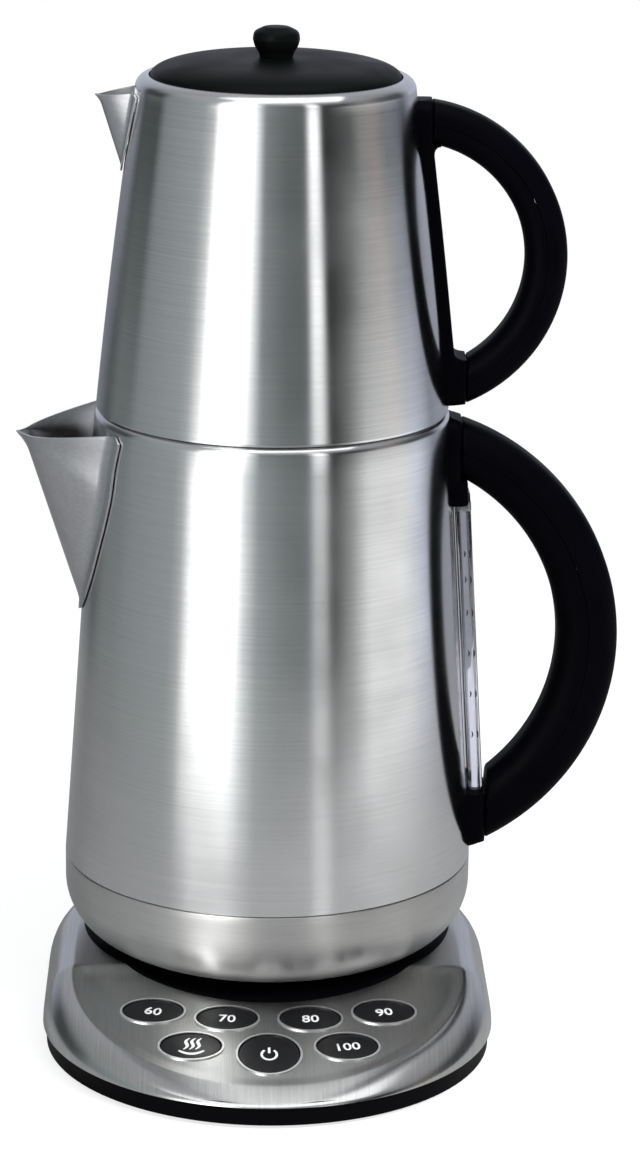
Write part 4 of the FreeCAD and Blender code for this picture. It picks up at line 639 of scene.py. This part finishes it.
MOUTH_R = 61.2
top_r = float(kettle_wall(KETTLE_TOP))
foot_z = SEAM_Z + 0.3
outer = [(kettle_wall(foot_z), foot_z), (top_r, KETTLE_TOP), (MOUTH_R, KETTLE_TOP), (MOUTH_R, KETTLE_TOP - 7.8)]
inner = [(MOUTH_R + STEEL, KETTLE_TOP - 7.8), (MOUTH_R + STEEL, KETTLE_TOP - STEEL),
         (top_r - STEEL, KETTLE_TOP - STEEL), (kettle_wall(foot_z) - STEEL, foot_z)]
loop = np.concatenate([divided(rounded(outer, [0, 3.5, 0.9, 0], 9), 8.0),
                       divided(rounded(inner, [0, 0.4, 2.7, 0], 7), 8.0)])
kettle_shell = spun("kettle_body_steel", loop, pot_steel, 256, closed=True)
carved(kettle_shell, arch_block("vent_cutter", 22.0, 185.8, 231.8, 8.0, -95, -50))
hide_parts("kettle_shell")
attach(kettle_shell, "kettle")

# Lower cup of the kettle: a pressed bowl under the heater, with a wide rounded foot, a hair's gap below
# the shell and an open middle for the connector.
CUP_ROUND, CUP_LOW, CUP_SIDE, CUP_TOP, CUP_HOLE = 23.5, 27.5, 51.0, 61.7, 50.0
turns = np.linspace(0, np.pi / 2, 22)
round_at = np.array([KETTLE_R - CUP_ROUND, CUP_LOW + CUP_ROUND])
quarter = np.stack([np.sin(turns), -np.cos(turns)], axis=-1)
foot, inside = round_at + CUP_ROUND * quarter, round_at + (CUP_ROUND - STEEL) * quarter
edge = rounded([(KETTLE_R, CUP_SIDE), (KETTLE_R, CUP_TOP), (KETTLE_R - STEEL, CUP_TOP),
                (KETTLE_R - STEEL, CUP_SIDE)], [0, 0.3, 0.2, 0], 4)
loop = np.concatenate([[(CUP_HOLE, CUP_LOW)], foot[:-1], divided(edge, 4.0), inside[::-1][1:],
                       [(CUP_HOLE, CUP_LOW + STEEL)]])
kettle_cup = spun("kettle_cup_steel", loop, cup_steel, 256, closed=True)
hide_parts("kettle_base_cap")
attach(kettle_cup, "kettle")

# Teapot shell: a slightly bellied cone, rolled over at the rim into a short collar and a ledge that
# carries the strainer, with a small opening behind its spout.
POT_LOW, POT_RIM, POT_R, POT_TOP_R, POT_BULGE = 246.92, 376.2, 69.3, 54.1, 2700.0
RIM_ROUND, LEDGE_Z, LEDGE_R, LID_BORE = 4.8, 371.4, 46.4, 48.9


def pot_wall(z):
    """r = foot's r - (foot's r - top's r) * share + (z - foot) * (ledge - z) / (2 * bulge): a straight slope
    with a slight belly, in millimetres."""
    z = np.asarray(z, float)
    share = (z - POT_LOW) / (LEDGE_Z - POT_LOW)
    belly = (z - POT_LOW) * (LEDGE_Z - z) / (2 * POT_BULGE)
    return POT_R - (POT_R - POT_TOP_R) * share + belly


heights = np.linspace(POT_LOW, LEDGE_Z, 40)
side_out = np.stack([pot_wall(heights), heights], axis=-1)
bend = np.linspace(math.radians(4), math.pi / 2, 12)
roll = np.stack([POT_TOP_R - RIM_ROUND + RIM_ROUND * np.cos(bend),
                 POT_RIM - RIM_ROUND + RIM_ROUND * np.sin(bend)], axis=-1)
collar = rounded([(49.3, POT_RIM), (LID_BORE, POT_RIM), (LID_BORE, LEDGE_Z), (LEDGE_R, LEDGE_Z),
                  (LEDGE_R, LEDGE_Z - STEEL), (LID_BORE + STEEL, LEDGE_Z - STEEL),
                  (LID_BORE + STEEL, POT_RIM - 1.2), (POT_TOP_R - STEEL, POT_RIM - 4.6)],
                 [0, 0.4, 0.3, 0, 0, 0.3, 0.3, 0], 4)
loop = np.concatenate([side_out, roll, divided(collar, 6.0), (side_out - [STEEL, 0])[::-1]])
teapot_shell = spun("teapot_body_steel", loop, pot_steel, 256, closed=True)
carved(teapot_shell, arch_block("pot_vent_cutter", 6.5, 347.2, 363.2, 2.3, -75, -45))
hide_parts("teapot_shell")
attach(teapot_shell, "teapot")


# Spouts: each is pressed from one sheet into a cone that narrows to the lip, open on top, and is spot
# welded by a narrow flange that lies on the pot's wall.
def polyline(points, count):
    """The smooth curve through points, evenly spaced by length, by Catmull-Rom pieces."""
    points = np.asarray(points, float)
    padded = np.vstack([2 * points[0] - points[1], points, 2 * points[-1] - points[-2]])
    dense = []
    for index in range(len(points) - 1):
        a, b, c, d = padded[index:index + 4]
        t = np.linspace(0, 1, 24, endpoint=False)[:, None]
        dense.append(0.5 * (2 * b + (c - a) * t + (2 * a - 5 * b + 4 * c - d) * t ** 2
                            + (3 * b - a - 3 * c + d) * t ** 3))
    dense = np.vstack(dense + [points[-1:]])
    length = np.concatenate([[0], np.cumsum(np.linalg.norm(np.diff(dense, axis=0), axis=1))])
    even = np.linspace(0, length[-1], count)
    return np.stack([np.interp(even, length, dense[:, axis]) for axis in range(3)], axis=-1), even


def on_wall(points, wall, stand_off):
    """The points moved level with the axis until they stand off the pot's wall by stand_off."""
    reach = np.hypot(points[..., 0], points[..., 1])
    wanted = wall(points[..., 2]) + stand_off
    moved = points.copy()
    moved[..., 0] *= wanted / reach
    moved[..., 1] *= wanted / reach
    return moved


SEAM_OFF, FLANGE_OFF = 1.0, 1.2


def spout_piece(name, wall, side, apex, lip, flange, corner, mouth, material):
    """A cone over the U-shaped seam on the wall towards the apex, with a flange and a flared lip: point =
    stop + (apex - stop) * t, its width times (1 - t)^(mouth - 1), which rounds the lip in plan."""
    side = np.asarray(side, float)
    full = np.vstack([side, (side * [1, -1, 1])[::-1][1:]])
    rim, along = polyline(full, 121)
    rim = on_wall(rim, wall, SEAM_OFF)
    forward = np.gradient(rim, axis=0)
    forward /= np.linalg.norm(forward, axis=1, keepdims=True)
    outward = rim * [1, 1, 0]
    outward /= np.linalg.norm(outward, axis=1, keepdims=True)
    away = np.cross(forward, outward)
    away /= np.linalg.norm(away, axis=1, keepdims=True)
    inside = rim.mean(axis=0)
    away *= np.sign(np.sum(away * (rim - inside), axis=1, keepdims=True))
    from_end = np.minimum(along, along[-1] - along)
    width = flange * np.sqrt(np.clip(1 - (1 - np.clip(from_end / corner, 0, 1)) ** 2, 0.02, 1))
    seam = on_wall(rim - away * flange, wall, SEAM_OFF)
    apex = np.asarray(apex, float)
    towards = apex - seam
    reach = np.linalg.norm(towards, axis=1, keepdims=True)
    towards /= reach
    rows = [on_wall(seam + away * (width[:, None] * share), wall, FLANGE_OFF)
            for share in np.linspace(1, 0.35, 4)]
    start = on_wall(seam + away * (width[:, None] * 0.3), wall, FLANGE_OFF)
    stop = seam + towards * np.minimum(flange * 0.9, 0.2 * reach)
    for t in np.linspace(0, 1, 6):
        rows.append((1 - t) ** 2 * start + 2 * t * (1 - t) * seam + t ** 2 * stop)
    for t in 1 - (1 - np.linspace(0, 0.985, 40)[1:]) ** 1.7:
        ruled = stop + (apex - stop) * t
        ruled[:, 1] *= (1 - t) ** (mouth - 1)
        rows.append(ruled)
    points = np.array(rows)
    near = np.clip(1 - np.linalg.norm(points - apex, axis=-1) / lip[2], 0, 1) ** 2
    points[..., 0] -= lip[0] * near
    points[..., 2] += lip[1] * near
    mesh = grid_mesh(name, points * MM)
    piece = finished(name, mesh, material, 60.0)
    middle = Vector(0.5 * (inside + apex) * MM)
    if sum(face.normal.dot(face.center - middle) * face.area for face in piece.data.polygons) < 0:
        piece.data.flip_normals()
    wall_step = piece.modifiers.new("sheet", "SOLIDIFY")
    wall_step.thickness = STEEL * MM
    wall_step.offset = -1.0
    bevel = piece.modifiers.new("dressed_edge", "BEVEL")
    bevel.width = 0.25 * MM
    bevel.segments = 2
    bevel.limit_method = "ANGLE"
    bevel.angle_limit = math.radians(50)
    return piece


spout_steel = steel_material("spout_steel", (400.0, 400.0, 900.0), (0.50, 0.50, 0.52), (0.62, 0.62, 0.64),
                             0.30, 0.25, 0.3)
KETTLE_SEAM = [(-58.2, -39.1, 240.6), (-60.7, -36.8, 228.1), (-62.5, -35.5, 214.9), (-66.0, -31.0, 198.7),
               (-70.4, -23.4, 180.2), (-73.6, -13.0, 167.4), (-75.6, 0.0, 162.6)]
kettle_spout = spout_piece("kettle_spout_steel", kettle_wall, KETTLE_SEAM, (-98.1, 0, 234.3), (2.9, 0.3, 8.0),
                           3.8, 2.6, 0.5, spout_steel)
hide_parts("kettle_spout")
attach(kettle_spout, "kettle")
TEAPOT_SEAM = [(-52.8, -12.6, 369.6), (-54.2, -11.4, 362.0), (-55.6, -9.4, 354.0), (-57.2, -6.4, 346.5),
               (-58.6, -3.2, 340.8), (-59.2, 0.0, 338.5)]
teapot_spout = spout_piece("teapot_spout_steel", pot_wall, TEAPOT_SEAM, (-68.2, 0, 367.9), (1.4, 0.1, 4.0),
                           1.8, 3.0, 0.5, spout_steel)
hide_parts("teapot_spout")
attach(teapot_spout, "teapot")


# Satin blacks of the handles, the lid and the trays: the same mouldings with a softer gloss, a little
# lighter where fingers and cloths have polished them.
handle_black = plastic_material("handle_black", (0.0004, 0.0004, 0.0009), (0.0010, 0.0010, 0.0020), 0.42,
                                3500.0, 0.10, 0.022)
lid_black = plastic_material("lid_black", (0.0012, 0.0020, 0.0018), (0.0025, 0.0036, 0.0032), 0.42, 1900.0,
                             0.9, 0.05)
tray_black = plastic_material("tray_black", (0.0008, 0.0008, 0.0012), (0.0018, 0.0018, 0.0026), 0.42, 2500.0,
                              0.2, 0.05)

# Lid: one moulded shallow dome, fullest towards its rim, with a square edge that drops into the teapot's
# collar. Height over the edge = dome * sqrt(1 - (r / R)^3.6).
LID_LOW, LID_EDGE, LID_TOP, LID_R, LID_WALL, LID_ROOF = 372.3, 375.7, 383.2, 48.5, 2.2, 1.9
radii = LID_R * np.sin(np.linspace(0.0, 1.42, 44))
top_path = np.stack([radii, LID_EDGE + (LID_TOP - LID_EDGE) * np.sqrt(1 - (radii / LID_R) ** 3.6)], axis=-1)
hollow_r, hollow_z = LID_R - LID_WALL, LID_EDGE - LID_ROOF
edge = rounded([top_path[-1], (LID_R, LID_EDGE), (LID_R, LID_LOW), (hollow_r, LID_LOW), (hollow_r, hollow_z)],
               [0, 0.7, 0.4, 0.3, 0], 5)
under = np.linspace(hollow_r, 0.0, 30)
under_drop = hollow_z + (LID_TOP - LID_WALL - hollow_z) * (1 - (under / hollow_r) ** 2)
loop = np.concatenate([top_path[:-1], edge, np.stack([under, under_drop], axis=-1)[1:]])
lid = spun("lid_black_dome", loop, lid_black, 192)
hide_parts("lid_cover")
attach(lid, "lid")

# Knob: a trumpet with a rounded crown, moulded in the lid's own plastic. It stands on a small foot and is
# held by a screw from below.
crown = rounded([(0, 394.9), (4.8, 394.8), (8.7, 392.9), (9.1, 390.0), (8.4, 387.4), (6.9, 385.0),
                 (6.3, 383.0), (6.2, 382.4), (0, 382.4)], [0, 3.0, 2.5, 3.0, 4.0, 4.0, 0.3, 0, 0], 7)
knob = spun("lid_knob_black", crown, lid_black, 96)
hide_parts("lid_knob")
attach(knob, "lid")


# Handles: each grip is two moulded half rings, an outer and an inner one, pushed together and held
# between two blocks on the pot's wall. Fine V grooves show at the joints.
def half_ring(name, inner, outer, top_x, low_x, width, outer_round, inner_round, material, count=110):
    """A section with rounded corners carried between two circles, cut off upright at both ends.

    Each circle is (centre x, centre z, radius). The section's corners lie on the two circles."""
    half = width / 2
    depth = outer[2] - inner[2]
    section = rounded([(0, 0), (-half, 0), (-half, depth), (half, depth), (half, 0), (0, 0)],
                      [0, inner_round, outer_round, outer_round, inner_round, 0], 12, 0.97)
    section = divided(section, 3.0)[:-1]
    across, rise = section[:, 0], section[:, 1] / depth
    shrink = np.array([1 - 0.5 / half] + [1.0] * (count - 2) + [1 - 0.5 / half])
    steps = np.concatenate([[0], np.linspace(0.0035, 0.9965, count - 2), [1]])
    rows = []
    for share, small in zip(steps, shrink):
        distance = np.full(len(section), (inner[2] + outer[2]) / 2)
        for _ in range(4):
            begin = np.arccos((top_x - outer[0]) / distance)
            end = -np.arccos((low_x - outer[0]) / distance)
            angle_here = begin + (end - begin) * share
            dx, dz = inner[0] - outer[0], inner[1] - outer[1]
            along = dx * np.cos(angle_here) + dz * np.sin(angle_here)
            inner_here = along + np.sqrt(inner[2] ** 2 - (dx ** 2 + dz ** 2) + along ** 2)
            squeezed = 0.5 + (rise - 0.5) * (1 - (1 - small) * 2 * half / depth)
            distance = inner_here + (outer[2] - inner_here) * squeezed
        rows.append(np.stack([outer[0] + distance * np.cos(angle_here), across * small,
                              outer[1] + distance * np.sin(angle_here)], axis=-1))
    mesh = grid_mesh(name, np.array(rows) * MM, closed_v=True)
    return closed_ends(name, mesh, material)


KETTLE_GRIP, KETTLE_GRIP_IN = (43.97, 151.4, 95.1), (40.57, 152.5, 74.1)
KETTLE_PART, KETTLE_PART_IN = (42.27, 151.95, 84.6), (42.27, 151.95, 84.5)
POT_GRIP, POT_PART, POT_PART_IN, POT_GRIP_IN = [(52.09, 305.7, radius) for radius in (62.1, 53.9, 53.8, 45.7)]
UPPER_SEAM, LOWER_SEAM, POT_UPPER_SEAM, POT_LOWER_SEAM = 74.85, 88.0, 60.45, 75.85
GRIPS = [
    # CAD node, inner circle, outer circle, upper and lower seam, width, outer and inner rounding
    ("kettle_grip_outer", KETTLE_PART, KETTLE_GRIP, UPPER_SEAM, LOWER_SEAM, 24.0, 9.0, 0.3),
    ("kettle_grip_inner", KETTLE_GRIP_IN, KETTLE_PART_IN, UPPER_SEAM, LOWER_SEAM, 24.0, 0.3, 9.0),
    ("teapot_grip_outer", POT_PART, POT_GRIP, POT_UPPER_SEAM, POT_LOWER_SEAM, 20.0, 7.0, 0.3),
    ("teapot_grip_inner", POT_GRIP_IN, POT_PART_IN, POT_UPPER_SEAM, POT_LOWER_SEAM, 20.0, 0.3, 7.0),
]
for cad_node, *sizes in GRIPS:
    grip = half_ring(cad_node + "_black", *sizes, handle_black)
    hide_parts(cad_node)
    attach(grip, cad_node.split("_")[0])


# Handle mounts: moulded blocks screwed to the pot's wall, which carry on the rings' outlines and hold the
# grips' ends. The teapot's two blocks are joined by a strip along the wall.
def on_circle(circle, z):
    """x = centre + sqrt(radius^2 - (z - centre)^2), the far side of a ring at a height."""
    return circle[0] + np.sqrt(np.clip(circle[2] ** 2 - (np.asarray(z, float) - circle[1]) ** 2, 0, None))


def wall_block(name, wall, heights, reach, halves, corner, material):
    """Level slices stacked up the wall: each runs from the wall, x = sqrt(r^2 - y^2), out to its reach, with
    round outer corners."""
    rows = []
    for z, far, half in zip(heights, reach, halves):
        back = np.sqrt(float(wall(z)) ** 2 - half ** 2) - 0.3
        far = max(far, back + 0.8)
        turn = min(corner, half * 0.8, (far - back) * 0.6)
        arc = np.linspace(0, np.pi / 2, 7)
        x, y = far - turn + turn * np.sin(arc), half - turn + turn * np.cos(arc)
        side = np.linspace(-half, half, 9)[-2:0:-1]
        x = np.concatenate([[back], x, x[::-1], [back], np.sqrt(float(wall(z)) ** 2 - side ** 2) - 0.3])
        y = np.concatenate([[-half], -y, y[::-1], [half], side])
        rows.append(np.column_stack([x, y, np.full(len(x), z)]))
    return closed_ends(name, grid_mesh(name, np.array(rows) * MM, closed_v=True), material, 50.0)


def tapered(heights, half, round_off, low, high):
    """The ring's own half width near its faces: half - r + sqrt(r^2 - (r - d)^2), d from the face."""
    near = np.minimum(np.abs(heights - low), np.abs(high - heights))
    inside = np.clip(round_off - near, 0, round_off)
    return half - round_off + np.sqrt(np.clip(round_off ** 2 - inside ** 2, 0.04, None))


# The slices lie closer together where an outline turns, and each flat stops under 0.2 mm short of the
# grip's end. Kettle, above: a foot under the ring, the ring's inner face, a flat against the grip's end and
# the ring's own outline on top
UPPER_FOOT, RING_FROM, FLAT_FROM, FLAT_TO = 207.6, 216.35, 218.2, 241.4
z = np.concatenate([[UPPER_FOOT, 207.9, 208.6], np.linspace(210, 216.2, 6), np.linspace(216.4, 218.3, 8),
                    np.linspace(219, FLAT_TO, 24), np.linspace(241.7, 243.0, 6)])
reach = np.where(z < RING_FROM, 78.0 - 0.066 * (z - UPPER_FOOT), np.minimum(on_circle(KETTLE_GRIP_IN, z), 77.4))
reach = np.where(z > FLAT_FROM, UPPER_SEAM - 0.18, reach)
reach = np.where(z > FLAT_TO, on_circle(KETTLE_GRIP, z), reach)
reach[:2] -= (0.7, 0.2)
halves = np.where(z < 230, 10.0 + 2.0 * eased((z - 214) / 8), tapered(z, 12.0, 9.0, 190.0, 243.6))
upper_mount = wall_block("kettle_mount_upper_black", kettle_wall, z, reach, halves, 3.0, handle_black)
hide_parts("kettle_mount_upper")

# Kettle, below: the ring's outline, then a flat against the grip's end
z = np.concatenate([np.linspace(63.9, 67.0, 9), np.linspace(68, 86.5, 16), [87.2, 87.7, 88.0]])
reach = np.where(z < 67.0, on_circle(KETTLE_GRIP, z), LOWER_SEAM - 0.17)
lower_mount = wall_block("kettle_mount_lower_black", kettle_wall, z, reach, tapered(z, 12.0, 9.0, 63.4, 97.0),
                         3.0, handle_black)
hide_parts("kettle_mount_lower")

# Teapot: a foot, a thin strip up the wall and a head, joined by quarter-round flares
SPINE_FOOT, FLARE_LOW, FLARE_HIGH, HEAD_FROM, STRIP, STRIP_HALF = 247.2, 266.5, 346.2, 350.4, 3.7, 6.0
z = np.concatenate([np.linspace(SPINE_FOOT, 248.4, 6), np.linspace(249, 266.4, 16),
                    np.linspace(266.6, 270, 14), np.linspace(272, 344, 24), np.linspace(345, 350.3, 16),
                    np.linspace(350.6, 367.0, 18), [367.3, 367.6]])
strip = pot_wall(z) + STRIP
flare_low = 1 - np.sqrt(np.clip(1 - (1 - np.clip((z - FLARE_LOW) / 2.4, 0, 1)) ** 2, 0, 1))
flare_high = 1 - np.sqrt(np.clip(1 - np.clip((z - FLARE_HIGH) / 4.1, 0, 1) ** 2, 0, 1))
reach = np.where(z < 248.35, 69.8 + (z - SPINE_FOOT) * 5.1, strip + (POT_LOWER_SEAM - 0.17 - strip) * flare_low)
reach = np.where(z > 345.5, strip + (63.8 - strip) * flare_high, reach)
reach = np.where(z > HEAD_FROM, POT_UPPER_SEAM - 0.16, reach)
foot_half, head_half = tapered(z, 10.0, 7.0, 247.0, 290.0), tapered(z, 10.0, 7.0, 330.0, 368.2)
halves = np.where(z < 300, STRIP_HALF + (foot_half - STRIP_HALF) * eased((284 - z) / 26),
                  STRIP_HALF + (head_half - STRIP_HALF) * eased((z - 332) / 26))
spine = wall_block("teapot_spine_black", pot_wall, z, reach, halves, 1.4, handle_black)
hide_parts("teapot_handle_spine")
for block, body in ((upper_mount, "kettle"), (lower_mount, "kettle"), (spine, "teapot")):
    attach(block, body)

# Water gauge: an extruded flat tube of clear acrylic that leans with the wall between the two mounts, with
# a frosted sleeve at the top and short dark curved strokes at six heights on its front.
GAUGE_NEAR, GAUGE_FAR, GAUGE_HALF, GAUGE_SKIN = 0.35, 6.5, 5.5, 1.2


def gauge_ring(z, near, far, half, corner):
    """A rounded rectangle in plan between two distances from the wall's foot line, at a height."""
    wall = float(kettle_wall(z))
    outline = rounded([(near + wall, 0), (near + wall, -half), (far + wall, -half), (far + wall, half),
                       (near + wall, half), (near + wall, 0)], [0, corner, corner, corner, corner, 0], 6)[:-1]
    return np.column_stack([outline, np.full(len(outline), z)])


def sleeve(name, low, high, growth, skin, material):
    """A flat tube between two heights: its outside rises, then its bore comes back down, skin inside it."""
    levels = [low, low + 0.3, high - 0.3, high]
    drawn_in = [0.3, 0.0, 0.0, 0.3]
    rows = [gauge_ring(z, GAUGE_NEAR - growth + d, GAUGE_FAR + growth - d, GAUGE_HALF + growth - d, 1.6)
            for z, d in zip(levels, drawn_in)]
    rows += [gauge_ring(z, GAUGE_NEAR + skin, GAUGE_FAR - skin, GAUGE_HALF - skin, 1.0) for z in levels[::-1]]
    return finished(name, grid_mesh(name, np.array(rows) * MM, closed_u=True, closed_v=True), material, 50.0)


def clear_material(name, tint, rough):
    """Clear plastic: tinted, faintly streaked along its drawing, with a little wear in its gloss."""
    material, tree = new_material(name)
    place = node(tree, "ShaderNodeTexCoord").outputs["Object"]
    streaks = noise(tree, stretched(tree, place, (900.0, 900.0, 12.0)), 1.0)
    darker = tuple(0.75 * share for share in tint)
    return shaded(material, {
        "Base Color": mixed(tree, streaks, darker, tint), "IOR": 1.49, "Transmission Weight": 1.0,
        "Roughness": arithmetic(tree, "MULTIPLY", streaks, rough)})


gauge_clear = clear_material("gauge_clear", (0.92, 0.93, 1.0), 0.08)
frosted = clear_material("gauge_frosted", (0.55, 0.57, 0.60), 0.7)
tube = sleeve("gauge_tube_clear", 87.4, 211.8, 0.0, GAUGE_SKIN, gauge_clear)
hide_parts("gauge_tube")
collar = sleeve("gauge_sleeve_frosted", 204.6, 208.4, 0.2, -0.02, frosted)
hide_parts("gauge_collar")
# Dark curved strokes, two at each of six heights, laid thinly on the tube's front.
gauge_stroke_dark = plastic_material("gauge_stroke_dark", (0.012, 0.012, 0.016), (0.03, 0.03, 0.04), 0.5, 3000.0, 0.05, 0.2)
stroke_strips = []
for level in (187.0, 176.4, 162.7, 145.6, 128.6, 111.5):
    wall = float(kettle_wall(level))
    turn = np.linspace(-0.5, 0.5, 9)
    for out, tall in ((3.0, 2.6), (5.1, 3.4)):
        centre = np.stack([wall + out + 0.35 * np.cos(turn * np.pi), level + turn * tall], axis=-1)
        wide = 0.25 + 0.35 * np.cos(turn * np.pi)
        stroke_strips.append(np.stack([np.stack([centre[:, 0] + side * wide / 2, np.full(9, -GAUGE_HALF - 0.03),
                                         centre[:, 1]], axis=-1) for side in (-1, 1)]))
mesh = bpy.data.meshes.new("gauge_dark_strokes")
mesh.from_pydata(np.array(stroke_strips).reshape(-1, 3) * MM, [], [
    (k * 18 + c, k * 18 + c + 1, k * 18 + c + 10, k * 18 + c + 9)
    for k in range(len(stroke_strips)) for c in range(8)])
marks = new_object("gauge_dark_strokes", mesh, gauge_stroke_dark)
marks.modifiers.new("ink", "SOLIDIFY").thickness = INK * MM
for piece in (tube, collar, marks):
    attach(piece, "kettle")

# Everything still shown from the frame, such as the tray, bezels, feet and the parts inside, keeps its CAD
# shape and gets the finish of its own material slot.
PLAIN_FINISHES = [
    # slot, colour, roughness, metal
    ("bezel_chrome", (0.97, 0.97, 0.97), 0.32, 1.0), ("screw_steel", (0.5, 0.5, 0.5), 0.35, 1.0),
    ("heat_alloy", (0.6, 0.6, 0.62), 0.45, 1.0), ("contact_brass", (0.65, 0.46, 0.18), 0.3, 1.0),
    ("collar_grey", (0.55, 0.56, 0.58), 0.35, 0.0), ("seal_rubber", (0.03, 0.03, 0.03), 0.8, 0.0),
    ("foot_rubber", (0.02, 0.02, 0.02), 0.85, 0.0), ("board_green", (0.02, 0.11, 0.05), 0.5, 0.0),
    ("part_grey", (0.09, 0.09, 0.10), 0.6, 0.0),
]
cad_finish = {name: plain_material(name, *values) for name, *values in PLAIN_FINISHES}
cad_finish.update(
    base_steel=base_steel, pot_steel=pot_steel, cup_steel=cup_steel, inner_steel=cup_steel,
    tray_black=tray_black, handle_black=handle_black, lid_black=lid_black, button_black=button_black,
    gauge_clear=gauge_clear)
slot_of = {part["node"]: part["material_slot"] for part in frame["record"]["subparts"]}
for cad_node, shape in frame["nodes"].items():
    finish = cad_finish[slot_of[cad_node]]
    for slot in shape.material_slots:
        slot.material = finish
